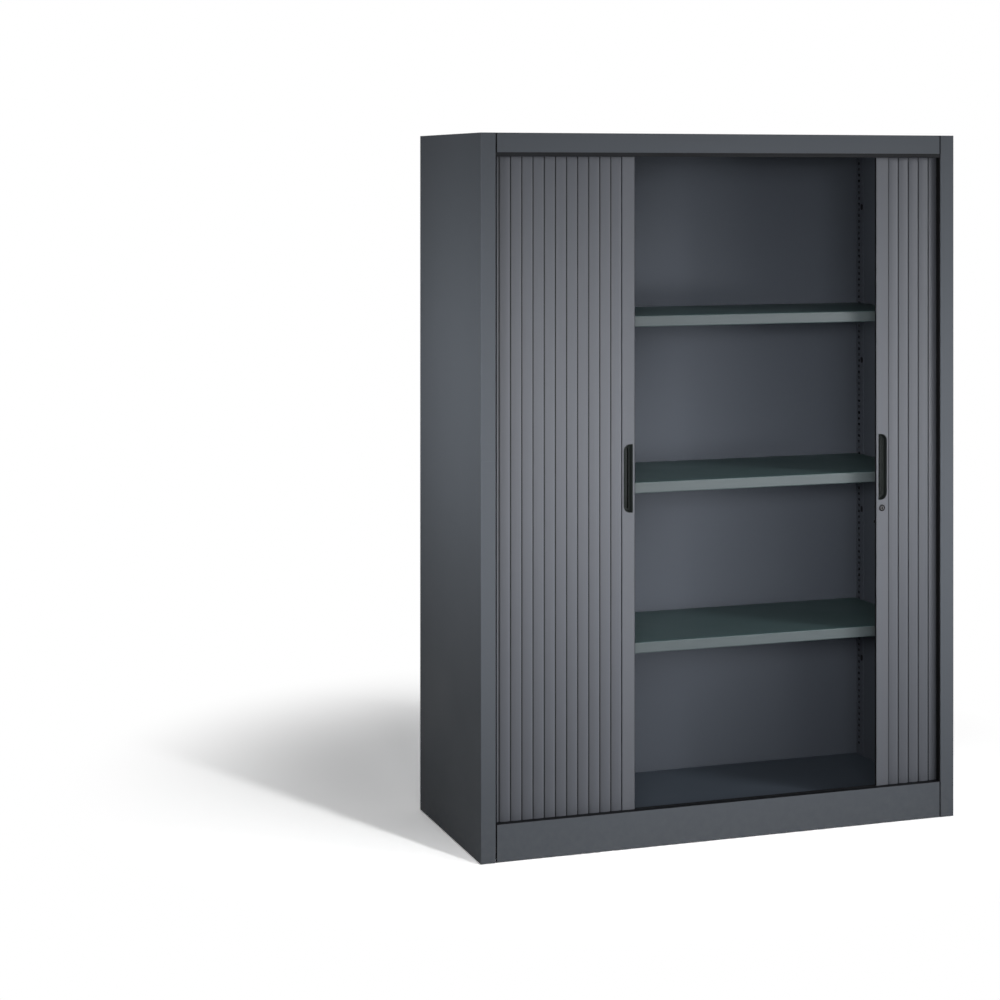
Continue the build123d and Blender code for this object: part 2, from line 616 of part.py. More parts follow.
def lock_housing(edge):
    """Lock barrel with its rosette, open for the plug."""
    x = edge + LOCK_EDGE
    housing = rod_along_y(x, LOCK_HEIGHT, ROSETTE_RADIUS, SLAT_FRONT_Y - ROSETTE_THICKNESS, SLAT_FRONT_Y)
    housing += rod_along_y(x, LOCK_HEIGHT, BARREL_RADIUS, SLAT_FRONT_Y - ROSETTE_THICKNESS / 2,
                           SLAT_FRONT_Y + BARREL_LENGTH)
    return housing - rod_along_y(x, LOCK_HEIGHT, PLUG_RADIUS + PLUG_PLAY, FRONT,
                                 SLAT_FRONT_Y + BARREL_LENGTH + 1)


def lock_nut(edge):
    """Flat nut that clamps the barrel behind the slat."""
    x = edge + LOCK_EDGE
    hexagon = Pos(x, LOCK_HEIGHT) * RegularPolygon(NUT_SIZE / 2, 6, major_radius=False)
    nut = front_view_prism(hexagon, SLAT_REAR_Y, SLAT_REAR_Y + NUT_THICKNESS)
    return nut - rod_along_y(x, LOCK_HEIGHT, BARREL_RADIUS + PLUG_PLAY, FRONT, SLAT_REAR_Y + 2 * NUT_THICKNESS)


def lock_plug(edge):
    """Turning plug with a keyway in its face."""
    x = edge + LOCK_EDGE
    face = SLAT_FRONT_Y - ROSETTE_THICKNESS
    plug = rod_along_y(x, LOCK_HEIGHT, PLUG_RADIUS, face, CAM_FRONT_Y)
    return plug - slab(x - KEYWAY_WIDTH / 2, x + KEYWAY_WIDTH / 2, face - 1, face + KEYWAY_DEPTH,
                       LOCK_HEIGHT - KEYWAY_HEIGHT / 2, LOCK_HEIGHT + KEYWAY_HEIGHT / 2)


def sector(radius, start, end):
    """Pie slice in X and Z round the origin, angles in degrees from straight down."""
    reach = 2 * radius
    a = start * pi / 180
    b = end * pi / 180
    wedge = Polygon((0, 0), (-reach * sin(a), -reach * cos(a)), (-reach * sin(b), -reach * cos(b)), align=None)
    return Circle(radius) & wedge


def lock_cam(edge):
    """Hook plate: hangs down when open and turns its hook under the strike pin."""
    x = edge + LOCK_EDGE
    pin_reach = LOCK_EDGE + 2 * CLOSED_GAP + STRIKE_EDGE
    play = STRIKE_PIN_RADIUS + STRIKE_PIN_PLAY
    inner = pin_reach - play
    stop = -degrees(play / pin_reach)
    plate = Circle(CAM_HUB) + sector(CAM_RADIUS, -CAM_HALF_ANGLE, CAM_HALF_ANGLE)
    hook = sector(pin_reach + play, stop, CAM_HALF_ANGLE + 1) - Circle(inner)
    return front_view_prism(Pos(x, LOCK_HEIGHT) * (plate - hook), CAM_FRONT_Y, CAM_FRONT_Y + CAM_THICKNESS)


def cam_screw(edge):
    """Screw that holds the cam on the plug."""
    rear = CAM_FRONT_Y + CAM_THICKNESS
    return rod_along_y(edge + LOCK_EDGE, LOCK_HEIGHT, CAM_SCREW_RADIUS, rear, rear + CAM_SCREW_HEIGHT)


def strike(edge):
    """Plate behind the left leading slat (built on the right) with the pin the hook takes."""
    x = edge + STRIKE_EDGE
    half = STRIKE_PLATE_WIDTH / 2
    top = GRIP_BOTTOM - 2 * GRIP_LIP
    plate = slab(x - half, x + half, SLAT_REAR_Y, SLAT_REAR_Y + STRIKE_PLATE, top - STRIKE_PLATE_HEIGHT, top)
    return plate + rod_along_y(x, LOCK_HEIGHT, STRIKE_PIN_RADIUS, SLAT_REAR_Y + STRIKE_PLATE / 2,
                               CAM_FRONT_Y + CAM_THICKNESS + STRIKE_PIN_END)


# --- Feet, beams and screws -----------------------------------------------------
def foot(x, y):
    """Levelling foot: a pad on a threaded stud."""
    pad = Pos(x, y, FOOT_THICKNESS / 2) * Cylinder(FOOT_RADIUS, FOOT_THICKNESS)
    pad = fillet(pad.edges().filter_by(GeomType.CIRCLE), FOOT_THICKNESS / 6)
    return pad + Pos(x, y, FOOT_THICKNESS / 2 + STUD_LENGTH / 2) * Cylinder(STUD_RADIUS, STUD_LENGTH)


def foot_beam():
    """Channel under the right side of the floor that carries two feet."""
    x0 = FOOT_X - BEAM_WIDTH / 2
    x1 = FOOT_X + BEAM_WIDTH / 2
    y0 = FRONT + PLINTH_RETURN + FIT_GAP
    y1 = BACK - 2 * SKIN - FIT_GAP - LINER - FIT_GAP
    top = FLOOR_TOP - LINER
    beam = slab(x0, x1, y0, y1, BEAM_BOTTOM, top)
    beam -= slab(x0 + BEAM_SHEET, x1 - BEAM_SHEET, y0 - 1, y1 + 1, BEAM_BOTTOM + BEAM_SHEET, top + 1)
    for y in (-FOOT_Y, FOOT_Y):
        beam -= Pos(FOOT_X, y, BEAM_BOTTOM) * Cylinder(BEAM_HOLE_RADIUS, 4 * BEAM_SHEET)
    return beam


def foot_bush(y):
    """Threaded bush standing on the beam."""
    middle = Pos(FOOT_X, y, BEAM_BOTTOM + BEAM_SHEET + BUSH_LENGTH / 2)
    return middle * (Cylinder(BUSH_RADIUS, BUSH_LENGTH) - Cylinder(STUD_RADIUS + STUD_PLAY, 2 * BUSH_LENGTH))


def screw_places():
    """X and height of the screws along the right rear flange."""
    step = (HEIGHT - 2 * SCREW_MARGIN) / (SCREW_ROWS - 1)
    return [(SIDE - REAR_FLANGE / 2, SCREW_MARGIN + i * step) for i in range(SCREW_ROWS)]


def back_screws():
    """Flush heads in the right rear flange, bearing on the back sheet."""
    heads = [rod_along_y(x, z, SCREW_HEAD_RADIUS, BACK - SKIN, BACK) for x, z in screw_places()]
    return [fillet(head.edges().group_by(Axis.Y)[-1], SKIN / 3) for head in heads]


def build():
    """Every node by name."""
    panel = side_panel()
    liner = side_liner()
    seal = edge_seal()
    front_column, rear_column = slot_columns()
    front_upright = upright(front_column)
    rear_upright = upright(rear_column)
    nodes = {
        "left_side_panel": left(panel), "right_side_panel": panel,
        "top_cover": top_cover(), "plinth": plinth(), "outer_back": outer_back(),
        "base_pan": tray(FLOOR_TOP, -PAN_FLANGE, LINER),
        "ceiling": tray(CEILING, CEILING_FLANGE, LINER),
        "left_liner": left(liner), "right_liner": liner, "back_liner": back_liner(),
        "left_edge_seal": left(seal), "right_edge_seal": seal,
        "left_front_upright": left(front_upright), "right_front_upright": front_upright,
        "left_rear_upright": left(rear_upright), "right_rear_upright": rear_upright,
        "wall_plugs": both_sides([wall_plug(y, level) for y, level in plug_places()]),
        "track_buffers": both_sides([track_buffer(False), track_buffer(True)]),
        "foot_beams": both_sides([foot_beam()]),
        "foot_bushes": both_sides([foot_bush(-FOOT_Y), foot_bush(FOOT_Y)]),
        "back_screws": both_sides(back_screws()),
    }
    nodes |= tracks(False) | tracks(True)
    for number, index in enumerate(SHELF_SLOTS, 1):
        nodes[f"shelf_{number}"] = shelf(index)
        nodes[f"shelf_{number}_clips"] = both_sides([shelf_clip(y, index) for y, _ in slot_columns()])
    slat = curtain_slat()
    nodes["left_front_slats"] = group([left(s) for s in curtain(slat, LEFT_REST, 0, LEFT_FRONT_SLATS)])
    nodes["left_pocket_slats"] = group(
        [left(s) for s in curtain(slat, LEFT_REST, LEFT_FRONT_SLATS, SLAT_COUNT)])
    nodes["right_front_slats"] = group(curtain(slat, RIGHT_REST, 0, RIGHT_FRONT_SLATS))
    nodes["right_pocket_slats"] = group(curtain(slat, RIGHT_REST, RIGHT_FRONT_SLATS, SLAT_COUNT))
    nodes |= {
        "left_leading_slat": left(leading_slat(LEFT_REST, False)),
        "right_leading_slat": leading_slat(RIGHT_REST, True),
        "left_lead_seal": left(lead_seal(LEFT_REST)), "right_lead_seal": lead_seal(RIGHT_REST),
        "left_runners": group([left(shoe) for shoe in lead_runners(LEFT_REST)]),
        "right_runners": group(lead_runners(RIGHT_REST)),
        "left_grip": left(grip_shell(LEFT_REST)), "right_grip": grip_shell(RIGHT_REST),
        "strike": left(strike(LEFT_REST)),
        "lock_housing": lock_housing(RIGHT_REST), "lock_nut": lock_nut(RIGHT_REST),
        "lock_plug": lock_plug(RIGHT_REST), "lock_cam": lock_cam(RIGHT_REST),
        "cam_screw": cam_screw(RIGHT_REST),
    }
    for side, x in (("left", -FOOT_X), ("right", FOOT_X)):
        for end, y in (("front", -FOOT_Y), ("rear", FOOT_Y)):
            nodes[f"{end}_{side}_foot"] = foot(x, y)
    return nodes


os.makedirs("parts", exist_ok=True)
for name, shape in build().items():
    export_step(shape, f"parts/{name}.step")
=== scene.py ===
"""Looks for the roll front tool cabinet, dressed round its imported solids.

Metres, +Z up, the front faces -Y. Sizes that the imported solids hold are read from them.
"""
import bmesh
import bpy
import json
import numpy as np
from math import pi, radians
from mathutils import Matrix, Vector

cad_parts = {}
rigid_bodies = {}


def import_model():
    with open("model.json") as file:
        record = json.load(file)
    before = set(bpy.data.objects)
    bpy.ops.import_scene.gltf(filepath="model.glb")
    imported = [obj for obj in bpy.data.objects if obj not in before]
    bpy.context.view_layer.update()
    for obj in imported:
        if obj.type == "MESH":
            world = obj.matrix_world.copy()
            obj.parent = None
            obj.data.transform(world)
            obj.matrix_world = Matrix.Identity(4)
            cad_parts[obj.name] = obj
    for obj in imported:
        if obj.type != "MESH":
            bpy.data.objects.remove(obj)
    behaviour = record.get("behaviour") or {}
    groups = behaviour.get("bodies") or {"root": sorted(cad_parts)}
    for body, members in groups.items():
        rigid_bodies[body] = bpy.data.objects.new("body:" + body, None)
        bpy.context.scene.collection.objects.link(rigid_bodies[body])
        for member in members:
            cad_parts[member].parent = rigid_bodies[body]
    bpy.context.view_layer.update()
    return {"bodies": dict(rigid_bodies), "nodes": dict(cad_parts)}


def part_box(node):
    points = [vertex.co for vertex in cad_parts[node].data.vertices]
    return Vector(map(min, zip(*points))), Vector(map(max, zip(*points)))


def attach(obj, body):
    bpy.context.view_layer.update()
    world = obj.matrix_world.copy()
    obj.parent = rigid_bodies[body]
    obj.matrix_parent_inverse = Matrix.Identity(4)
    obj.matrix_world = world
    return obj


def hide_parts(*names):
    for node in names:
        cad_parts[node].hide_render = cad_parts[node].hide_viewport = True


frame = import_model()
NODES = frame["nodes"]

# --- Driving sizes of the carcass (metres) --------------------------------------
SIDE = 0.600              # middle to the outer side
FRONT = -0.235
BACK = 0.235
STILE_WIDTH = 0.036
SEAM = 0.0028             # open joint between a stile and the rail or plinth
RAIL_BOTTOM = 1.596

# --- Driving sizes of the curtains and their guide (metres) ----------------------
SLAT_COUNT = 22
SLAT_PITCH = 0.027
SLAT_DEPTH = 0.008
SLAT_SETBACK = 0.017      # front of the carcass to the slats' faces
SLAT_HALF = 0.01235       # half the width of a slat's face
SLAT_CROWN = 0.0017       # how far the face stands out in the middle
EDGE_ROLL = 0.0004        # radius of the face's rolled edge
EDGE_TAPER = 0.0003       # how far the face's edge narrows towards its back
EDGE_BACK = -0.0014       # back of the face's edge, from the slat's middle plane
LEG_TOP = -0.0012         # where the legs start, from the same plane
LEG_OUTER = 0.0114        # middle of the slat to the outside of its legs
LEG_INNER = 0.0100
LEG_ROOT = 0.0098
WEB_REACH = 0.0147        # middle of the slat to the end of its web
WEB_HALF = 0.0004         # half the thickness of the web
END_CHAMFER = 0.0006
END_SHRINK = 0.94         # size of the section at a slat's two ends
UV_STEP = 0.3             # shift of the die lines from one slat to the next
LEAD_WIDTH = 0.032        # leading slat
CORNER_RADIUS = 0.040     # of the guide path
SIDE_OFFSET = 0.010       # outer side to the guide path
PATH_FRONT = FRONT + SLAT_SETBACK + SLAT_DEPTH / 2
PATH_BACK = BACK - SIDE_OFFSET
FRONT_RUN = SIDE - SIDE_OFFSET - CORNER_RADIUS
SIDE_RUN = PATH_BACK - PATH_FRONT - 2 * CORNER_RADIUS
CORNER_RUN = CORNER_RADIUS * pi / 2

# --- Driving sizes of the grips, the lock and the joint beads of painted shade (metres) ---
GRIP_LIP = 0.0015         # depth of the lip behind the slat
GRIP_SUNK = 0.0002        # slat's face to the grip's rim
GRIP_PLAY = 0.00015       # round the grip in the slat's cut-out
GRIP_FAR_ROUND = 0.0165   # outline's corners away from the leading edge
GRIP_NEAR_ROUND = 0.0016  # and next to it
GRIP_LEAST_ROUND = 0.0006  # near corners of the rings furthest in
FAR_STEPS = 14
NEAR_STEPS = 5
ROSETTE = 0.0012          # thickness of the lock's rim
BARREL_RADIUS = 0.0065
THREAD_DEPTH = 0.0003
THREAD_STEP = 0.00035     # from a crest to the next groove
THREAD_START = 0.0085     # behind the slat's face
THREAD_END = 0.0010       # before the end of the barrel
PLUG_PLAY = 0.00006       # round the plug in the barrel
BEAD_PLAY = 0.00002       # between the bead and each wall of its joint
BEAD_SUNK = 0.0004        # front of the carcass to the middle of the bead
BEAD_HOLLOW = 0.0003      # depth of its hollow front
BEAD_BACK = 0.0009        # front of the carcass to its back
BEAD_END = 0.0003         # from either end of the joint
COVER_EDGE = 0.0004       # joint's end to the top of the cover

# --- Colours (linear) and levels of light -----------------------------------------
CARCASS = (0.052, 0.058, 0.067)
INSIDE = (0.050, 0.057, 0.070)
# base pan: the inside paint made paler and bluer, painted light on the cabinet's inner floor
BASE_PAN_LIT = (0.062, 0.076, 0.096)
# shelf faces that look up or down: a paler, greener copy of the shelf paint, painted light
SHELF_TOP_LIT = (0.052, 0.084, 0.086)
SHELF_LIP = (0.058, 0.070, 0.074)
SLATS = (0.056, 0.060, 0.070)
SLAT_ROUGHNESS = (0.48, 0.60)
DIE_STRETCH = 0.004       # squeeze of the noise along the slat that draws it into lines
GRIP_BLACK = (0.85, 1.1, 1.05)
COOL_BLACK = (0.85, 0.95, 1.2)
ZINC = (0.55, 0.55, 0.53)
NICKEL = (0.042, 0.042, 0.043)
DARK_NICKEL = (0.011, 0.011, 0.012)
FLOOR_DUST = (0.30, 0.29, 0.27, 1.0)
DEEP_BLACK = (0.002, 0.002, 0.002, 1.0)
FOAM_WALLS = (0.005, 0.005, 0.006, 1.0)
BLACK_CARD = (0.004, 0.004, 0.004, 1.0)
WHITE = (1.0, 1.0, 1.0, 1.0)
ROOM_LEVEL = 0.13
FLOOR_TONE = 2.8          # floor as the camera and mirrors see it
FLOOR_BOUNCE = 0.70       # floor as it lights the cabinet
FLOOR_RADIUS = 9.0
# floor's painted light: where the floor glows white, fading the cabinet's shadow out
FADE_MIDDLE = (-0.1, 0.45, 0.0)
FADE_START = 0.5
FADE_END = 1.36
FLAG_PLACE = 2.2          # black card: its Y, its reach in X and its height
FLAG_REACH = (-6.0, -0.9)
FLAG_HEIGHT = 3.4

# --- Camera and lamps ---------------------------------------------------------------
CAMERA_PLACE = (-2.187, -5.028, 1.538)
CAMERA_TURN = -18.81
CAMERA_SENSOR = 36.0
CAMERA_LENS = 81.25
CAMERA_SHIFT = -0.322
# name, place, aim, size, watts, spread in degrees
LAMPS = (
    ("right tall box", (2.6, -2.6, 2.0), (0.2, 0.0, 0.8), (0.8, 1.6), 7.2, 50.0),
    ("right front band", (1.6, -2.9, 0.80), (-0.05, -0.1, 0.76), (2.2, 0.4), 5.6, 46.0),
    ("left floor spot", (1.0, -4.2, 2.4), (-1.5, 0.5, 0.0), (0.3, 0.3), 3.4, 30.0),
    ("left front box", (-2.0, -3.6, 1.5), (0.4, 0.1, 0.80), (1.0, 0.6), 5.2, 40.0),
    ("front box", (-1.2, -4.4, 1.2), (0.3, 0.2, 0.5), (0.8, 0.6), 1.4, 26.0),
    ("high front box", (-0.8, -4.6, 1.9), (0.1, 0.2, 1.3), (1.2, 0.8), 2.0, 30.0),
    ("low front band", (0.4, -3.6, 0.35), (0.1, 0.2, 0.40), (1.6, 0.3), 1.3, 30.0),
    ("left box", (-2.6, -1.1, 1.0), (-0.6, 0.0, 1.3), (0.6, 0.6), 3.8, 56.0),
    ("small left box", (-2.8, -0.6, 1.1), (-0.6, 0.0, 1.02), (0.5, 0.5), 1.35, 30.0),
    ("rear box", (0.5, 4.6, 1.1), (0.42, 0.235, 0.85), (0.8, 1.2), 11.5, 25.0),
)


# --- Mesh helpers --------------------------------------------------------------
SHARP_ANGLE = radians(30.0)   # edges that turn by more are shaded sharp
ROUND_STEPS = 64              # points round a circle


def make_piece(name, points, faces):
    """Mesh object at the origin from an array of points and a list of faces."""
    mesh = bpy.data.meshes.new(name)
    mesh.from_pydata(points.tolist(), [], faces)
    mesh.validate()
    piece = bpy.data.objects.new(name, mesh)
    bpy.context.scene.collection.objects.link(piece)
    mesh.shade_smooth()
    mesh.set_sharp_from_angle(angle=SHARP_ANGLE)
    return piece


def set_field(piece, name, values):
    """One number per vertex, kept as a named attribute."""
    field = piece.data.attributes.new(name, "FLOAT", "POINT")
    field.data.foreach_set("value", np.asarray(values, np.float32))


def set_uv(piece, uv):
    """UV map with one pair per vertex, copied to the faces' corners."""
    layer = piece.data.uv_layers.new(name="surface")
    corners = np.zeros(len(piece.data.loops), np.int32)
    piece.data.loops.foreach_get("vertex_index", corners)
    layer.data.foreach_set("uv", np.asarray(uv, np.float32)[corners].ravel())


def grid_faces(rows, columns, wrap=False):
    """Quads between neighbouring points of a rows by columns grid, closed round if wrap."""
    row, column = np.meshgrid(np.arange(rows - 1), np.arange(columns if wrap else columns - 1),
                              indexing="ij")
    following = (column + 1) % columns
    quads = np.stack([row * columns + column, row * columns + following,
                      (row + 1) * columns + following, (row + 1) * columns + column], -1)
    return quads.reshape(-1, 4)


# --- Node tree helpers -----------------------------------------------------------
NUMBER = "NodeSocketFloat"
VECTOR = "NodeSocketVector"


class Tree:
    """Short way to add nodes to a node tree and link them."""

    def __init__(self, tree):
        self.tree = tree

    def add(self, kind, settings=None, **inputs):
        """Adds a node, sets its properties, and sets or links its inputs by name."""
        node = self.tree.nodes.new(kind)
        for key, value in (settings or {}).items():
            setattr(node, key, value)
        for key, value in inputs.items():
            self.put(node.inputs[key.replace("_", " ")], value)
        return node

    def put(self, socket, value):
        """Links an output to the socket, or writes a plain value to it."""
        if isinstance(value, bpy.types.NodeSocket):
            self.tree.links.new(value, socket)
        else:
            socket.default_value = value

    def math(self, operation, a, b=0.0, c=0.0):
        """Result of one Math node."""
        node = self.add("ShaderNodeMath", {"operation": operation})
        for socket, value in zip(node.inputs, (a, b, c)):
            self.put(socket, value)
        return node.outputs[0]

    def mix(self, factor, a, b, blend="MIX"):
        """Colour mix: the node's sockets 6 and 7 and its output 2 are the ones for colours."""
        node = self.add("ShaderNodeMix", {"data_type": "RGBA", "blend_type": blend})
        self.put(node.inputs[0], factor)
        self.put(node.inputs[6], a)
        self.put(node.inputs[7], b)
        return node.outputs[2]

    def remap(self, value, low, high, to_low, to_high):
        """Linear change of range, clamped."""
        node = self.add("ShaderNodeMapRange", {"clamp": True})
        for socket, number in zip(node.inputs, (value, low, high, to_low, to_high)):
            self.put(socket, number)
        return node.outputs[0]

    def axis(self, vector, letter):
        """One coordinate of a vector."""
        split = self.add("ShaderNodeSeparateXYZ")
        self.put(split.inputs[0], vector)
        return split.outputs[letter]

    def seen_directly(self):
        """One for what the camera, mirrors and glass see, nought for the light in the room."""
        rays = self.add("ShaderNodeLightPath").outputs
        seen = self.math("MAXIMUM", rays["Is Camera Ray"], rays["Is Glossy Ray"])
        return self.math("MAXIMUM", seen, rays["Is Transmission Ray"])


def shader_group(name, inputs, outputs):
    """New shader group with its sockets; returns its tree helper, input and output nodes."""
    group = bpy.data.node_groups.new(name, "ShaderNodeTree")
    for label, kind, default in inputs:
        socket = group.interface.new_socket(label, in_out="INPUT", socket_type=kind)
        if default is not None:
            socket.default_value = default
    for label, kind in outputs:
        group.interface.new_socket(label, in_out="OUTPUT", socket_type=kind)
    tree = Tree(group)
    return tree, tree.add("NodeGroupInput"), tree.add("NodeGroupOutput")


def noise(tree, place, scale, detail=2.0, roughness=0.5):
    """Noise value at a place."""
    node = tree.add("ShaderNodeTexNoise", Scale=scale, Detail=detail, Roughness=roughness)
    tree.put(node.inputs["Vector"], place)
    return node.outputs["Fac"]


def orange_peel_group():
    """Powder coat: close dimples for the bump, a fine speckle and slow clouding for the colour.

    Height is a noise of about 1.4 mm lumps plus a third as much 0.5 mm grit.
    """
    tree, given, result = shader_group(
        "powder coat", [("Place", VECTOR, None), ("Cloud size", NUMBER, 3.0)],
        [("Height", NUMBER), ("Speckle", NUMBER), ("Cloud", NUMBER)])
    place = given.outputs["Place"]
    lumps = noise(tree, place, 700.0, 1.0)
    grit = noise(tree, place, 2100.0, 2.0)
    height = tree.math("MULTIPLY_ADD", grit, 0.33, lumps)
    cloud = noise(tree, place, given.outputs["Cloud size"], 3.0)
    tree.put(result.inputs["Height"], height)
    tree.put(result.inputs["Speckle"], grit)
    tree.put(result.inputs["Cloud"], cloud)
    return tree.tree


def scuff_group():
    """Handling marks: thin scratches in two directions, present only in scattered patches."""
    tree, given, result = shader_group(
        "light scuffs", [("Place", VECTOR, None), ("Amount", NUMBER, 0.3)], [("Mask", NUMBER)])
    place = given.outputs["Place"]
    marks = []
    for turn, stretch in ((0.4, (2.0, 2.0, 260.0)), (-0.9, (260.0, 2.0, 3.0))):
        turned = tree.add("ShaderNodeMapping", Rotation=(turn, turn / 2, 0.0), Scale=stretch)
        tree.put(turned.inputs["Vector"], place)
        line = noise(tree, turned.outputs[0], 3.0, 2.0)
        marks.append(tree.remap(line, 0.66, 0.70, 0.0, 1.0))
    patch = tree.remap(noise(tree, place, 5.0, 2.0), 0.55, 0.75, 0.0, 1.0)
    both = tree.math("MAXIMUM", marks[0], marks[1])
    masked = tree.math("MULTIPLY", both, patch)
    tree.put(result.inputs["Mask"], tree.math("MULTIPLY", masked, given.outputs["Amount"]))
    return tree.tree


def low_dust_group():
    """Dust that thins out upwards: one at the low height, none at the high one, broken by noise."""
    tree, given, result = shader_group(
        "floor dust", [("Place", VECTOR, None), ("Low", NUMBER, 0.0), ("High", NUMBER, 0.12)],
        [("Mask", NUMBER)])
    place = given.outputs["Place"]
    rise = tree.remap(tree.axis(place, "Z"), given.outputs["Low"], given.outputs["High"], 1.0, 0.0)
    broken = tree.remap(noise(tree, place, 60.0, 4.0, 0.6), 0.35, 0.75, 0.0, 1.0)
    tree.put(result.inputs["Mask"], tree.math("MULTIPLY", rise, broken))
    return tree.tree


def grain_group():
    """Fine grain of a surface: noise of a given scale, and the same stretched to a 0 to 1 tint."""
    tree, given, result = shader_group(
        "fine grain",
        [("Place", VECTOR, None), ("Scale", NUMBER, 2000.0), ("Detail", NUMBER, 2.0),
         ("Breakup", NUMBER, 0.5)],
        [("Grain", NUMBER), ("Tint", NUMBER)])
    grain = noise(tree, given.outputs["Place"], given.outputs["Scale"], given.outputs["Detail"],
                  given.outputs["Breakup"])
    tree.put(result.inputs["Grain"], grain)
    tree.put(result.inputs["Tint"], tree.remap(grain, 0.3, 0.7, 0.0, 1.0))
    return tree.tree


def die_line_group():
    """Marks of the extrusion die: fine noise lines and a slow change of tone across the slat.

    The place that goes in is stretched along the slat, so that the noise draws out into lines.
    """
    tree, given, result = shader_group(
        "die lines", [("Place", VECTOR, None)],
        [("Lines", NUMBER), ("Streaks", NUMBER), ("Tone", NUMBER)])
    place = given.outputs["Place"]
    lines = noise(tree, place, 1800.0, 2.0)
    tree.put(result.inputs["Lines"], lines)
    tree.put(result.inputs["Streaks"], tree.remap(lines, 0.25, 0.75, 0.0, 1.0))
    tree.put(result.inputs["Tone"], tree.remap(noise(tree, place, 40.0, 1.0), 0.3, 0.7, 0.0, 0.5))
    return tree.tree


POWDER = orange_peel_group()
SCUFFS = scuff_group()
DUST = low_dust_group()
GRAIN = grain_group()
DIE_LINES = die_line_group()


class Finish:
    """A material with one Principled shader, its place on the piece, and tree helpers."""

    def __init__(self, name, metallic=0.0, specular=0.5):
        self.material = bpy.data.materials.new(name)
        self.material.use_nodes = True
        self.tree = Tree(self.material.node_tree)
        self.shader = self.material.node_tree.nodes["Principled BSDF"]
        self.place = self.tree.add("ShaderNodeTexCoord").outputs["Object"]
        self.set("Metallic", metallic)
        self.set("Specular IOR Level", specular)

    def set(self, socket, value):
        """Writes or links one socket of the shader."""
        self.tree.put(self.shader.inputs[socket], value)

    def use(self, group, **inputs):
        """Places a shared group and sets its inputs."""
        node = self.tree.add("ShaderNodeGroup", {"node_tree": group}, **inputs)
        if "Place" in node.inputs.keys() and not node.inputs["Place"].is_linked:
            self.tree.put(node.inputs["Place"], self.place)
        return node.outputs

    def bump(self, height, distance, strength=1.0):
        """Bump from a height, distance in metres."""
        node = self.tree.add("ShaderNodeBump", Height=height, Distance=distance, Strength=strength)
        self.set("Normal", node.outputs[0])


def shade(colour, factor):
    """The colour made darker or lighter, with full alpha."""
    return tuple(c * factor for c in colour[:3]) + (1.0,)


def powder_paint(name, colour, roughness=0.62, dusty=False, level_colour=None):
    """Powder-coated sheet: orange peel, faint clouding, light scuffs, dust near the floor.

    With a level colour, faces that look up or down have that one; on the shelves it is a paler,
    greener copy of the same paint, painted light on the tops.
    """
    finish = Finish(name, specular=0.12)
    tree = finish.tree
    powder = finish.use(POWDER)
    paint = shade(colour, 1.0)
    if level_colour:
        facing = tree.axis(tree.add("ShaderNodeTexCoord").outputs["Normal"], "Z")
        flat = tree.remap(tree.math("ABSOLUTE", facing), 0.3, 0.7, 0.0, 1.0)
        paint = tree.mix(flat, paint, shade(level_colour, 1.0))
    clouded = tree.mix(1.0, paint, tree.remap(powder["Cloud"], 0.0, 1.0, 0.94, 1.06), "MULTIPLY")
    speckled = tree.remap(powder["Speckle"], 0.3, 0.7, 1.0, 0.964)
    paint = tree.mix(1.0, clouded, speckled, "MULTIPLY")
    scuffs = finish.use(SCUFFS, Amount=0.25)["Mask"]
    paint = tree.mix(scuffs, paint, shade(colour, 1.45))
    if dusty:
        dust = finish.use(DUST)["Mask"]
        paint = tree.mix(tree.math("MULTIPLY", dust, 0.05), paint, FLOOR_DUST)
    finish.set("Base Color", paint)
    rough = tree.remap(powder["Cloud"], 0.3, 0.7, roughness - 0.05, roughness + 0.06)
    finish.set("Roughness", tree.math("MULTIPLY_ADD", scuffs, 0.2, rough))
    finish.bump(powder["Height"], 0.00004, 0.6)
    return finish.material


def slat_skin(name, colour):
    """Extruded satin slats: die lines along the height, painted shading that grows paler towards
    each slat's right edge, a painted highlight along that edge, and painted shade in the grooves.
    """
    finish = Finish(name, specular=0.25)
    tree = finish.tree
    uv = tree.add("ShaderNodeUVMap", {"uv_map": "surface"}).outputs[0]
    stretched = tree.add("ShaderNodeMapping", Scale=(1.0, DIE_STRETCH, 1.0))
    tree.put(stretched.inputs["Vector"], uv)
    drawn = finish.use(DIE_LINES, Place=stretched.outputs[0])
    lines = drawn["Lines"]
    grain = finish.use(GRAIN, Scale=1500.0)["Grain"]

    def lined(level):
        """Paint at a level of brightness, with its die lines."""
        return tree.mix(drawn["Streaks"], shade(colour, 0.92 * level), shade(colour, 1.06 * level))

    # painted light: each slat runs from a darker left to a paler right and ends in a painted
    # highlight band along its right edge
    edge = tree.add("ShaderNodeAttribute", {"attribute_name": "slat_highlight_side"}).outputs["Fac"]
    paint = tree.mix(tree.remap(edge, -0.011, 0.009, 0.0, 1.0), lined(0.89), lined(1.11))
    paint = tree.mix(tree.remap(edge, 0.0082, 0.0100, 0.0, 1.0), paint, lined(1.40))
    paint = tree.mix(drawn["Tone"], paint, shade(colour, 0.93))
    # painted shade: the deep parts of each slat, the grooves between slats, are painted almost
    # black
    depth = tree.add("ShaderNodeAttribute", {"attribute_name": "slat_v"}).outputs["Fac"]
    groove = tree.remap(depth, -0.0024, -0.0017, 0.0, 1.0)
    finish.set("Base Color", tree.mix(groove, paint, shade(colour, 0.05)))
    finish.set("Roughness", tree.remap(lines, 0.2, 0.8, *SLAT_ROUGHNESS))
    finish.bump(tree.math("MULTIPLY_ADD", grain, 0.5, lines), 0.00003, 0.6)
    return finish.material


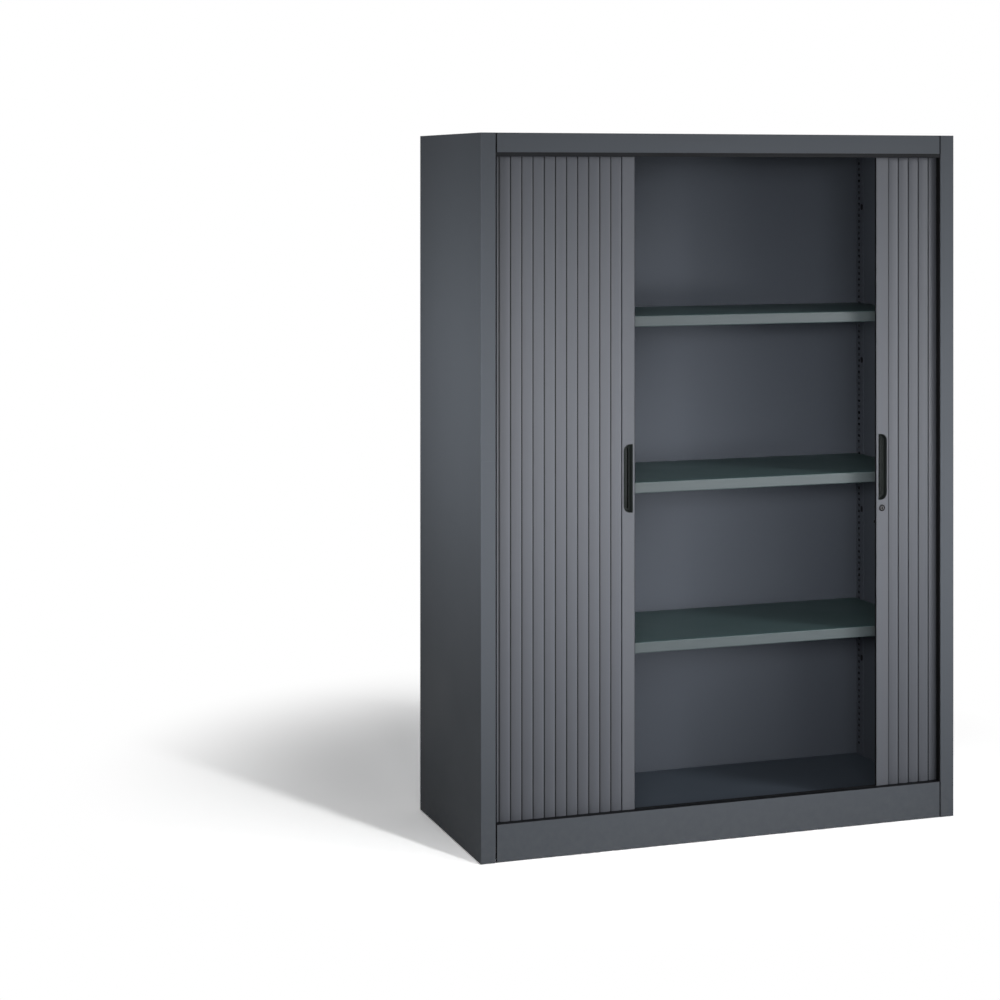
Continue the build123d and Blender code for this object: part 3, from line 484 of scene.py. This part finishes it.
def lead_slat_skin(name, colour):
    """The slats' finish on the box-section leading slats, with die lines along Z."""
    finish = Finish(name, specular=0.25)
    tree = finish.tree
    stretched = tree.add("ShaderNodeMapping", Scale=(1.0, 1.0, DIE_STRETCH))
    tree.put(stretched.inputs["Vector"], finish.place)
    lines = finish.use(DIE_LINES, Place=stretched.outputs[0])["Lines"]
    finish.set("Base Color", tree.mix(lines, shade(colour, 0.93), shade(colour, 1.05)))
    finish.set("Roughness", tree.remap(lines, 0.2, 0.8, *SLAT_ROUGHNESS))
    finish.bump(lines, 0.00003, 0.6)
    return finish.material


def moulded_black(name, roughness=0.6, level=0.010, tint=(0.9, 1.1, 1.0)):
    """Black moulded plastic: spark-eroded grain and slightly paler rubbed patches."""
    finish = Finish(name, specular=0.12)
    tree = finish.tree
    grain = finish.use(GRAIN, Scale=1600.0, Detail=3.0, Breakup=0.6)["Grain"]
    rub = noise(tree, finish.place, 14.0, 3.0)
    colour = shade(tint, level)
    rubbed = tree.remap(rub, 0.45, 0.7, 0.0, 1.0)
    finish.set("Base Color", tree.mix(rubbed, colour, shade(colour, 1.4)))
    finish.set("Roughness", tree.remap(grain, 0.3, 0.7, roughness - 0.08, roughness + 0.1))
    finish.bump(grain, 0.00005, 0.7)
    return finish.material


def foam_black(name):
    """Black foam rubber: open cells and a dull surface."""
    finish = Finish(name, specular=0.04)
    tree = finish.tree
    voronoi = tree.add("ShaderNodeTexVoronoi", Scale=900.0)
    tree.put(voronoi.inputs["Vector"], finish.place)
    cells = voronoi.outputs["Distance"]
    finish.set("Base Color", tree.mix(cells, DEEP_BLACK, FOAM_WALLS))
    finish.set("Roughness", tree.remap(cells, 0.0, 0.6, 0.7, 0.95))
    finish.bump(cells, 0.0003, 0.8)
    return finish.material


def bright_metal(name, colour, roughness, spangle=0.0, mouth=None):
    """Plated steel: fine turning grain, zinc spangle where asked for.

    With a mouth, the Y of a face, what lies more than half a millimetre behind it is painted black:
    painted shade inside the keyway.
    """
    finish = Finish(name, metallic=1.0)
    tree = finish.tree
    fine = finish.use(GRAIN, Scale=2500.0)
    grain, tint = fine["Grain"], fine["Tint"]
    if spangle:
        flakes = tree.add("ShaderNodeTexVoronoi", Scale=260.0)
        tree.put(flakes.inputs["Vector"], finish.place)
        tint = tree.mix(spangle, tint, flakes.outputs["Color"])
    plate = tree.mix(tint, shade(colour, 0.82), shade(colour, 1.08))
    if mouth is not None:
        # painted shade: black behind the mouth
        depth = tree.remap(tree.axis(finish.place, "Y"), mouth + 0.0002, mouth + 0.0005, 0.0, 1.0)
        plate = tree.mix(depth, plate, DEEP_BLACK)
    finish.set("Base Color", plate)
    finish.set("Roughness", tree.remap(grain, 0.2, 0.8, roughness - 0.06, roughness + 0.1))
    finish.bump(grain, 0.00003, 0.5)
    return finish.material


# --- Curtains ---------------------------------------------------------------------
def slat_section():
    """Section of one slat, points (u, v) with u along the curtain and v from the front inwards.

    The face is a parabola 24.7 mm wide and 1.7 mm high with its edges rolled back. The legs lean
    inwards so that neighbouring slats can turn round the corner, and a thin web on the right leg
    reaches behind the next slat's edge and closes the groove.
    """
    outer = SLAT_DEPTH / 2
    flat = SLAT_HALF - EDGE_ROLL
    u = np.linspace(-flat, flat, 15)
    face = np.stack([u, -outer + SLAT_CROWN * (u / flat) ** 2], -1)
    turn = np.linspace(0, pi / 2, 4)[1:]
    right = np.stack([flat + EDGE_ROLL * np.sin(turn),
                      -outer + SLAT_CROWN + EDGE_ROLL * (1 - np.cos(turn))], -1)
    edge_back = (SLAT_HALF - EDGE_TAPER, EDGE_BACK)
    root = (LEG_ROOT, LEG_TOP)
    rear = [edge_back, (LEG_OUTER, -WEB_HALF), (WEB_REACH, -WEB_HALF), (WEB_REACH, WEB_HALF),
            (LEG_OUTER, WEB_HALF), (LEG_OUTER, outer), (LEG_INNER, outer), root]
    mirrored = [root, (LEG_INNER, outer), (LEG_OUTER, outer), (LEG_OUTER, -WEB_HALF), edge_back]
    left_turn = right[::-1] * (-1, 1)
    return np.concatenate([face, right, np.array(rear), np.array(mirrored) * (-1, 1), left_turn])


def curtain(name, mirror_sign, rest, z_low, z_high):
    """All slats of one shutter in a row: each is the section pulled from z_low to z_high.

    Every slat keeps the run s at which it starts and its own u and v, so that the guide
    modifier can set it on the path for any travel.
    """
    section = slat_section()
    count = len(section)
    levels = np.array([z_low, z_low + END_CHAMFER, z_high - END_CHAMFER, z_high])
    shrink = np.array([END_SHRINK, 1.0, 1.0, END_SHRINK])
    slat = np.arange(SLAT_COUNT)
    start = rest + LEAD_WIDTH + slat * SLAT_PITCH
    u = section[None, None, :, 0] * shrink[None, :, None] + 0 * start[:, None, None]
    v = section[None, None, :, 1] * shrink[None, :, None] + 0 * start[:, None, None]
    z = levels[None, :, None] + 0 * u
    s = start[:, None, None] + 0 * u
    points = np.stack([mirror_sign * (s + SLAT_PITCH / 2 + u), PATH_FRONT + v, z], -1)
    one = grid_faces(len(levels), count, wrap=True)
    per_slat = len(levels) * count
    faces = []
    for i in slat:
        faces += (one + i * per_slat).tolist()
        faces.append(list(range(i * per_slat, i * per_slat + count))[::-1])
        faces.append(list(range((i + 1) * per_slat - count, (i + 1) * per_slat)))
    if mirror_sign < 0:
        faces = [face[::-1] for face in faces]
    piece = make_piece(name, points.reshape(-1, 3), faces)
    set_field(piece, "slat_start", s.ravel())
    set_field(piece, "slat_u", u.ravel())
    # along each slat towards the right on both curtains: the side where the slat skin paints its
    # highlight
    set_field(piece, "slat_highlight_side", mirror_sign * u.ravel())
    set_field(piece, "slat_v", v.ravel())
    run = np.concatenate([[0], np.cumsum(np.linalg.norm(np.diff(section, axis=0), axis=1))])
    across = run[None, None, :] + UV_STEP * slat[:, None, None] + 0 * z
    set_uv(piece, np.stack([across, z], -1).reshape(-1, 2))
    return piece


def guide_point_group():
    """Point of the right guide path at a run s from the middle of the front.

    X is the straight run, plus R sin of the first turn, less R (1 - cos) of the second turn and
    the back run. Y is the front line, plus R (1 - cos) of the first turn, the side run and R sin
    of the second turn. Each stretch is clamped to its own length.
    """
    group = bpy.data.node_groups.new("guide point", "GeometryNodeTree")
    group.interface.new_socket("Run", in_out="INPUT", socket_type=NUMBER)
    group.interface.new_socket("Point", in_out="OUTPUT", socket_type=VECTOR)
    tree = Tree(group)
    run = tree.add("NodeGroupInput").outputs["Run"]
    turn_end = pi / 2

    def stretch(begin, length, scale=1.0):
        """Part of the run between two places, from 0 up to its length over the scale."""
        past = tree.math("DIVIDE", tree.math("SUBTRACT", run, begin), scale)
        return tree.math("MINIMUM", tree.math("MAXIMUM", past, 0.0), length)

    straight = tree.math("MINIMUM", run, FRONT_RUN)
    first = stretch(FRONT_RUN, turn_end, CORNER_RADIUS)
    side = stretch(FRONT_RUN + CORNER_RUN, SIDE_RUN)
    second = stretch(FRONT_RUN + CORNER_RUN + SIDE_RUN, turn_end, CORNER_RADIUS)
    back = stretch(FRONT_RUN + 2 * CORNER_RUN + SIDE_RUN, 1.0)

    def swing(operation, angle):
        """Radius times the sine or cosine of a turn."""
        return tree.math("MULTIPLY", tree.math(operation, angle), CORNER_RADIUS)

    def fall(angle):
        """Radius times one less the cosine of a turn."""
        return tree.math("SUBTRACT", CORNER_RADIUS, swing("COSINE", angle))

    x = tree.math("ADD", straight, swing("SINE", first))
    x = tree.math("SUBTRACT", tree.math("SUBTRACT", x, fall(second)), back)
    y = tree.math("ADD", tree.math("ADD", fall(first), side), swing("SINE", second))
    y = tree.math("ADD", y, PATH_FRONT)
    point = tree.add("ShaderNodeCombineXYZ", X=x, Y=y)
    result = tree.add("NodeGroupOutput")
    tree.put(result.inputs["Point"], point.outputs[0])
    return group


def run_in_guide(piece, body, mirror_sign, guide_point):
    """Modifier that sets every slat on the guide path for the shutter's present travel.

    The travel is how far the shutter's body stands from rest along X. A slat's two hinge lines
    lie on the path one pitch apart; its points are laid off along and square to that chord.
    """
    group = bpy.data.node_groups.new(piece.name + " in its guide", "GeometryNodeTree")
    group.is_modifier = True
    group.interface.new_socket("Geometry", in_out="INPUT", socket_type="NodeSocketGeometry")
    group.interface.new_socket("Geometry", in_out="OUTPUT", socket_type="NodeSocketGeometry")
    tree = Tree(group)
    given = tree.add("NodeGroupInput")
    result = tree.add("NodeGroupOutput")
    carrier = tree.add("GeometryNodeObjectInfo", {"transform_space": "ORIGINAL"})
    carrier.inputs["Object"].default_value = frame["bodies"][body]
    shift = tree.axis(carrier.outputs["Location"], "X")

    def field(name):
        """The piece's own attribute."""
        return tree.add("GeometryNodeInputNamedAttribute", {"data_type": "FLOAT"},
                        Name=name).outputs[0]

    def point_at(run):
        """X and Y of the path at a run."""
        point = tree.add("GeometryNodeGroup", {"node_tree": guide_point}, Run=run).outputs[0]
        return tree.axis(point, "X"), tree.axis(point, "Y")

    travel = tree.math("MULTIPLY", shift, mirror_sign)
    start = tree.math("ADD", field("slat_start"), travel)
    x0, y0 = point_at(start)
    x1, y1 = point_at(tree.math("ADD", start, SLAT_PITCH))
    dx = tree.math("SUBTRACT", x1, x0)
    dy = tree.math("SUBTRACT", y1, y0)
    length = tree.math("SQRT", tree.math("MULTIPLY_ADD", dx, dx, tree.math("MULTIPLY", dy, dy)))
    along_x = tree.math("DIVIDE", dx, length)
    along_y = tree.math("DIVIDE", dy, length)
    u = field("slat_u")
    v = field("slat_v")

    def laid(a, b, u_share, v_share):
        """Midpoint plus u along and v across the chord, for one coordinate."""
        middle = tree.math("MULTIPLY", tree.math("ADD", a, b), 0.5)
        return tree.math("MULTIPLY_ADD", v, v_share, tree.math("MULTIPLY_ADD", u, u_share, middle))

    across_x = tree.math("MULTIPLY", along_y, -1.0)
    x = laid(x0, x1, along_x, across_x)
    y = laid(y0, y1, along_y, along_x)
    height = tree.axis(tree.add("GeometryNodeInputPosition").outputs[0], "Z")
    own_x = tree.math("SUBTRACT", tree.math("MULTIPLY", x, mirror_sign), shift)
    point = tree.add("ShaderNodeCombineXYZ", X=own_x, Y=y, Z=height)
    moved = tree.add("GeometryNodeSetPosition", Geometry=given.outputs[0],
                     Position=point.outputs[0])
    tree.put(result.inputs[0], moved.outputs[0])
    modifier = piece.modifiers.new("guide", "NODES")
    modifier.node_group = group


def build_curtains(skin):
    """The two curtains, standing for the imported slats."""
    guide_point = guide_point_group()
    for side, sign in (("left", -1.0), ("right", 1.0)):
        lead_low, lead_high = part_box(side + "_leading_slat")
        rest = min(abs(lead_low.x), abs(lead_high.x))
        piece = curtain(side + "_curtain", sign, rest, lead_low.z, lead_high.z)
        piece.data.materials.append(skin)
        run_in_guide(piece, side + "_shutter", sign, guide_point)
        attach(piece, side + "_shutter")
        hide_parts(side + "_front_slats", side + "_pocket_slats")


# --- Grips ----------------------------------------------------------------------------
def grip_ring(x_near, x_far, z_low, z_high, inset):
    """Closed outline (x, z) moved inwards by the inset, anticlockwise.

    Each corner is a quarter circle about its own centre: large on the far side, small on the
    side of the leading edge, so that the outline is like the letter D.
    """
    direction = np.sign(x_far - x_near)
    near = max(GRIP_NEAR_ROUND - inset, GRIP_LEAST_ROUND)
    far = GRIP_FAR_ROUND - inset
    x0 = x_near + direction * inset
    x1 = x_far - direction * inset
    z0 = z_low + inset
    z1 = z_high - inset
    corners = ((x0, z0, near, 180, NEAR_STEPS), (x1, z0, far, 270, FAR_STEPS),
               (x1, z1, far, 0, FAR_STEPS), (x0, z1, near, 90, NEAR_STEPS))
    parts = []
    for x, z, radius, start, steps in corners:
        angle = np.radians(np.linspace(start, start + 90, steps))
        middle_x = x + direction * radius * (1 if x == x0 else -1)
        middle_z = z + radius * (1 if z == z0 else -1)
        parts.append(np.stack([middle_x + direction * radius * np.cos(angle),
                               middle_z + radius * np.sin(angle)], -1))
    return np.concatenate(parts)


def grip(side, skin):
    """Recessed pull: rings of one D-shaped outline, each with its own inset and depth.

    From the front the rings run over the rounded rim, down the drafted wall, round the floor's
    fillet and up a low finger bar; the outer ones run back past the lip behind the slat.
    """
    low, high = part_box(side + "_grip")
    inner, outer = (low.x, high.x) if side == "right" else (high.x, low.x)
    away = np.sign(outer - inner)
    x_near = inner + away * GRIP_LIP
    x_far = outer - away * GRIP_LIP
    front, rear = low.y, high.y
    slat_rear = front - GRIP_SUNK + SLAT_DEPTH
    lip_rear = slat_rear + GRIP_LIP
    rings = [(0.0030, rear), (0.0012, rear - 0.0004), (0.0006, rear - 0.0012),
             (GRIP_PLAY, lip_rear), (-0.0011, lip_rear), (-GRIP_LIP, slat_rear + 0.0011),
             (-GRIP_LIP, slat_rear + 0.0003), (-0.0012, slat_rear),
             (GRIP_PLAY, slat_rear), (GRIP_PLAY, front + 0.0006),
             (0.0003, front + 0.0002), (0.0006, front), (0.0011, front),
             (0.0014, front + 0.0002), (0.0016, front + 0.0006), (0.0024, rear - 0.0048),
             (0.0029, rear - 0.0034), (0.0040, rear - 0.0022), (0.0056, rear - 0.0016),
             (0.0076, rear - 0.0015), (0.0082, rear - 0.0021), (0.0090, rear - 0.0023)]
    count = 2 * (FAR_STEPS + NEAR_STEPS)
    points = np.zeros((len(rings), count, 3))
    for row, (inset, depth) in enumerate(rings):
        outline = grip_ring(x_near, x_far, low.z + GRIP_LIP, high.z - GRIP_LIP, inset)
        points[row, :, 0] = outline[:, 0]
        points[row, :, 1] = depth
        points[row, :, 2] = outline[:, 1]
    faces = grid_faces(len(rings), count, wrap=True).tolist()
    last = (len(rings) - 1) * count
    faces.append(list(range(count))[::-1])
    faces.append(list(range(last, last + count)))
    if away > 0:
        faces = [face[::-1] for face in faces]
    piece = make_piece(side + "_pull", points.reshape(-1, 3), faces)
    piece.data.materials.append(skin)
    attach(piece, side + "_shutter")
    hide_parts(side + "_grip")


# --- Turned pieces --------------------------------------------------------------------
def turned(name, x, z, profile):
    """Profile of (radius, y) pairs swung round an axis along Y: x and z get radius times cos, sin.

    A closed ring profile ends on its first pair; a profile that starts and ends at radius 0 is
    closed by its poles.
    """
    profile = np.array(profile)
    angle = np.linspace(0, 2 * pi, ROUND_STEPS, endpoint=False)
    radius = profile[:, 0][:, None]
    points = np.stack([x + radius * np.cos(angle), profile[:, 1][:, None] + 0 * angle,
                       z + radius * np.sin(angle)], -1)
    faces = grid_faces(len(profile), ROUND_STEPS, wrap=True).tolist()
    piece = make_piece(name, points.reshape(-1, 3), faces)
    close_up(piece)
    return piece


def close_up(piece):
    """Merges coincident points, such as a pole's, and turns the faces outwards."""
    shape = bmesh.new()
    shape.from_mesh(piece.data)
    bmesh.ops.remove_doubles(shape, verts=shape.verts, dist=1e-6)
    bmesh.ops.recalc_face_normals(shape, faces=shape.faces)
    shape.to_mesh(piece.data)
    shape.free()
    piece.data.shade_smooth()
    piece.data.set_sharp_from_angle(angle=SHARP_ANGLE)


def lock_face(skin):
    """Rosette and barrel of the lock: domed rim, step down to the plug, thread behind."""
    low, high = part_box("lock_housing")
    plug_low, plug_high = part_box("lock_plug")
    x = (low.x + high.x) / 2
    z = (low.z + high.z) / 2
    rim = (high.x - low.x) / 2
    bore = (plug_high.x - plug_low.x) / 2 + PLUG_PLAY
    front = low.y
    slat_face = front + ROSETTE
    profile = [(bore, front + 0.0009), (bore + 0.0004, front + 0.0006),
               (bore + 0.0012, front + 0.0005), (bore + 0.0016, front),
               (rim - 0.0006, front + 0.0001), (rim - 0.0002, front + 0.0003),
               (rim, front + 0.0007), (rim, slat_face), (BARREL_RADIUS, slat_face)]
    thread = np.arange(slat_face + THREAD_START, high.y - THREAD_END, THREAD_STEP)
    profile += [(BARREL_RADIUS - THREAD_DEPTH * (i % 2), y) for i, y in enumerate(thread)]
    profile += [(BARREL_RADIUS - 0.0005, high.y), (bore, high.y), (bore, front + 0.0009)]
    piece = turned("lock_rosette", x, z, profile)
    piece.data.materials.append(skin)
    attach(piece, "right_shutter")
    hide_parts("lock_housing")


def corner_shade_beads(skin):
    """Black beads in the four open joints between the stiles and the rail or plinth: painted shade,
    dark pieces standing where the open joints are in shade.

    Each bead's section is a hollow front, 0.3 mm deeper in the middle as a parabola, closed by a
    straight back; the section is carried up the joint.
    """
    rail_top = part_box("top_cover")[1].z
    plinth_low, plinth_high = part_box("plinth")
    across = np.linspace(-1.0, 1.0, 9)
    half = SEAM / 2 - BEAD_PLAY
    parts, faces = [], []
    for low, high in ((plinth_low.z, plinth_high.z), (RAIL_BOTTOM, rail_top - COVER_EDGE)):
        for side in (-1.0, 1.0):
            middle = side * (SIDE - STILE_WIDTH - SEAM / 2)
            hollow = FRONT + BEAD_SUNK - BEAD_HOLLOW * across ** 2
            front = np.stack([middle + half * across, hollow], -1)
            back = FRONT + BEAD_BACK
            section = np.concatenate([front, [[middle + half, back], [middle - half, back]]])
            count = len(section)
            points = np.zeros((2, count, 3))
            points[:, :, :2] = section
            points[:, :, 2] = np.array([[low + BEAD_END], [high - BEAD_END]])
            first = sum(len(part) for part in parts)
            parts.append(points.reshape(-1, 3))
            faces += (grid_faces(2, count, wrap=True) + first).tolist()
            faces.append(list(range(first, first + count))[::-1])
            faces.append(list(range(first + count, first + 2 * count)))
    # the beads are painted shade in the joints
    piece = make_piece("corner_sealant", np.concatenate(parts), faces)
    piece.data.materials.append(skin)
    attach(piece, "cabinet")


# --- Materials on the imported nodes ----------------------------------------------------
def dress(names, material):
    """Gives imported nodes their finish."""
    for name in names:
        NODES[name].data.materials.clear()
        NODES[name].data.materials.append(material)


def names_with(*words):
    """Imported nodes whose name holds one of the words."""
    return [name for name in NODES if any(word in name for word in words)]


def dress_nodes():
    """Finishes of what is shown as packed, and the new pieces with theirs."""
    sheet = powder_paint("carcass paint", CARCASS, dusty=True)
    inside = powder_paint("inside paint", INSIDE)
    # shelf tops and undersides painted paler: painted light
    shelf_paint = powder_paint("shelf paint", SHELF_LIP, 0.4, level_colour=SHELF_TOP_LIT)
    skin = slat_skin("satin slat plastic", SLATS)
    black = moulded_black("black moulding", 0.65, 0.005, COOL_BLACK)
    nylon = moulded_black("black nylon", 0.35, 0.018)
    foam = foam_black("black foam strip")
    zinc = bright_metal("zinc plate", ZINC, 0.38, 0.4)
    nickel = bright_metal("nickel plate", NICKEL, 0.5, mouth=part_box("lock_plug")[0].y)
    dark = bright_metal("dark nickel", DARK_NICKEL, 0.5)
    dress(names_with("side_panel", "top_cover", "plinth", "outer_back", "foot_beams"), sheet)
    dress(names_with("ceiling", "liner", "upright"), inside)
    # painted light: the base pan is paler than the inside paint
    dress(["base_pan"], powder_paint("base paint", BASE_PAN_LIT))
    dress(["shelf_1", "shelf_2", "shelf_3"], shelf_paint)
    dress(names_with("leading_slat"), lead_slat_skin("satin lead plastic", SLATS))
    dress(names_with("_tracks", "wall_plugs"), black)
    dress(names_with("_runners", "_foot"), nylon)
    dress(names_with("edge_seal", "lead_seal", "track_buffers"), foam)
    dress(names_with("clips", "bushes", "back_screws", "strike"), zinc)
    dress(["lock_plug"], nickel)
    dress(["lock_cam", "lock_nut", "cam_screw"], dark)
    pull_skin = moulded_black("grip plastic", 0.6, 0.0075, GRIP_BLACK)
    for side in ("left", "right"):
        grip(side, pull_skin)
    lock_face(dark)
    # black beads in the open joints: painted shade
    corner_shade_beads(foam)
    build_curtains(skin)


# --- Studio ----------------------------------------------------------------------------
def plain_floor():
    """White floor disc, even with the feet, that fades into the white room away from the cabinet.

    The fade is a smooth step of the distance from a point behind the cabinet's left half. It is
    painted light: to the camera and mirrors the floor glows white away from that point, so the
    cabinet's shadow fades out there.
    """
    turn = np.linspace(0, 2 * pi, ROUND_STEPS, endpoint=False)
    rim = np.stack([np.cos(turn), np.sin(turn), 0 * turn], -1) * FLOOR_RADIUS
    floor = make_piece("studio_floor", rim, [list(range(ROUND_STEPS))])
    material = bpy.data.materials.new("white paper")
    material.use_nodes = True
    tree = Tree(material.node_tree)
    material.node_tree.nodes.remove(material.node_tree.nodes["Principled BSDF"])
    seen = tree.seen_directly()
    tone = tree.remap(seen, 0.0, 1.0, FLOOR_BOUNCE, FLOOR_TONE)
    grey = tree.add("ShaderNodeCombineColor", Red=tone, Green=tone, Blue=tone)
    paper = tree.add("ShaderNodeBsdfDiffuse", Color=grey.outputs[0])
    reach = tree.add("ShaderNodeVectorMath", {"operation": "DISTANCE"})
    tree.put(reach.inputs[0], tree.add("ShaderNodeTexCoord").outputs["Object"])
    tree.put(reach.inputs[1], FADE_MIDDLE)
    far = tree.add("ShaderNodeMapRange", {"interpolation_type": "SMOOTHSTEP"})
    fade = (reach.outputs["Value"], FADE_START, FADE_END, 0.0, 1.0)
    for socket, value in zip(far.inputs, fade):
        tree.put(socket, value)
    room = tree.add("ShaderNodeEmission", Color=WHITE, Strength=1.0)
    joined = tree.add("ShaderNodeMixShader")
    tree.put(joined.inputs[0], tree.math("MULTIPLY", far.outputs[0], seen))
    tree.put(joined.inputs[1], paper.outputs[0])
    tree.put(joined.inputs[2], room.outputs[0])
    tree.put(material.node_tree.nodes["Material Output"].inputs["Surface"], joined.outputs[0])
    floor.data.materials.append(material)


def soft_lamp(name, place, aim, size, power, spread):
    """Soft box at a place, pointed at another, with its beam no wider than the spread."""
    lamp = bpy.data.lights.new(name, "AREA")
    lamp.shape = "RECTANGLE"
    lamp.size, lamp.size_y = size
    lamp.energy = power
    lamp.spread = radians(spread)
    holder = bpy.data.objects.new(name, lamp)
    bpy.context.scene.collection.objects.link(holder)
    holder.location = place
    holder.rotation_euler = (Vector(aim) - Vector(place)).to_track_quat("-Z", "Y").to_euler()


def white_room():
    """World: white to the camera, mirrors and glass, and a plain level for the rest."""
    world = bpy.data.worlds.new("white room")
    bpy.context.scene.world = world
    world.use_nodes = True
    tree = Tree(world.node_tree)
    background = world.node_tree.nodes["Background"].inputs
    background["Color"].default_value = WHITE
    strength = tree.remap(tree.seen_directly(), 0.0, 1.0, ROOM_LEVEL, 1.0)
    tree.put(background["Strength"], strength)


def dark_flag():
    """Black card behind and to the left, seen only by reflections, that darkens the side sheet."""
    left, right = FLAG_REACH
    corners = np.array([[left, FLAG_PLACE, 0.0], [right, FLAG_PLACE, 0.0],
                        [right, FLAG_PLACE, FLAG_HEIGHT], [left, FLAG_PLACE, FLAG_HEIGHT]])
    flag = make_piece("studio_flag", corners, [[0, 1, 2, 3]])
    material = bpy.data.materials.new("black card")
    material.use_nodes = True
    shader = material.node_tree.nodes["Principled BSDF"]
    shader.inputs["Base Color"].default_value = BLACK_CARD
    shader.inputs["Roughness"].default_value = 1.0
    flag.data.materials.append(material)
    flag.visible_camera = False
    flag.visible_diffuse = False
    flag.visible_shadow = False
    flag.visible_transmission = False


def studio():
    """Floor, card, lamps, world and the camera."""
    plain_floor()
    dark_flag()
    white_room()
    for lamp in LAMPS:
        soft_lamp(*lamp)
    scene = bpy.context.scene
    scene.view_settings.view_transform = "Standard"
    camera_data = bpy.data.cameras.new("camera")
    camera_data.sensor_width = CAMERA_SENSOR
    camera_data.lens = CAMERA_LENS
    camera_data.shift_y = CAMERA_SHIFT
    camera = bpy.data.objects.new("camera", camera_data)
    scene.collection.objects.link(camera)
    camera.location = CAMERA_PLACE
    camera.rotation_euler = (pi / 2, 0.0, radians(CAMERA_TURN))
    scene.camera = camera


dress_nodes()
studio()
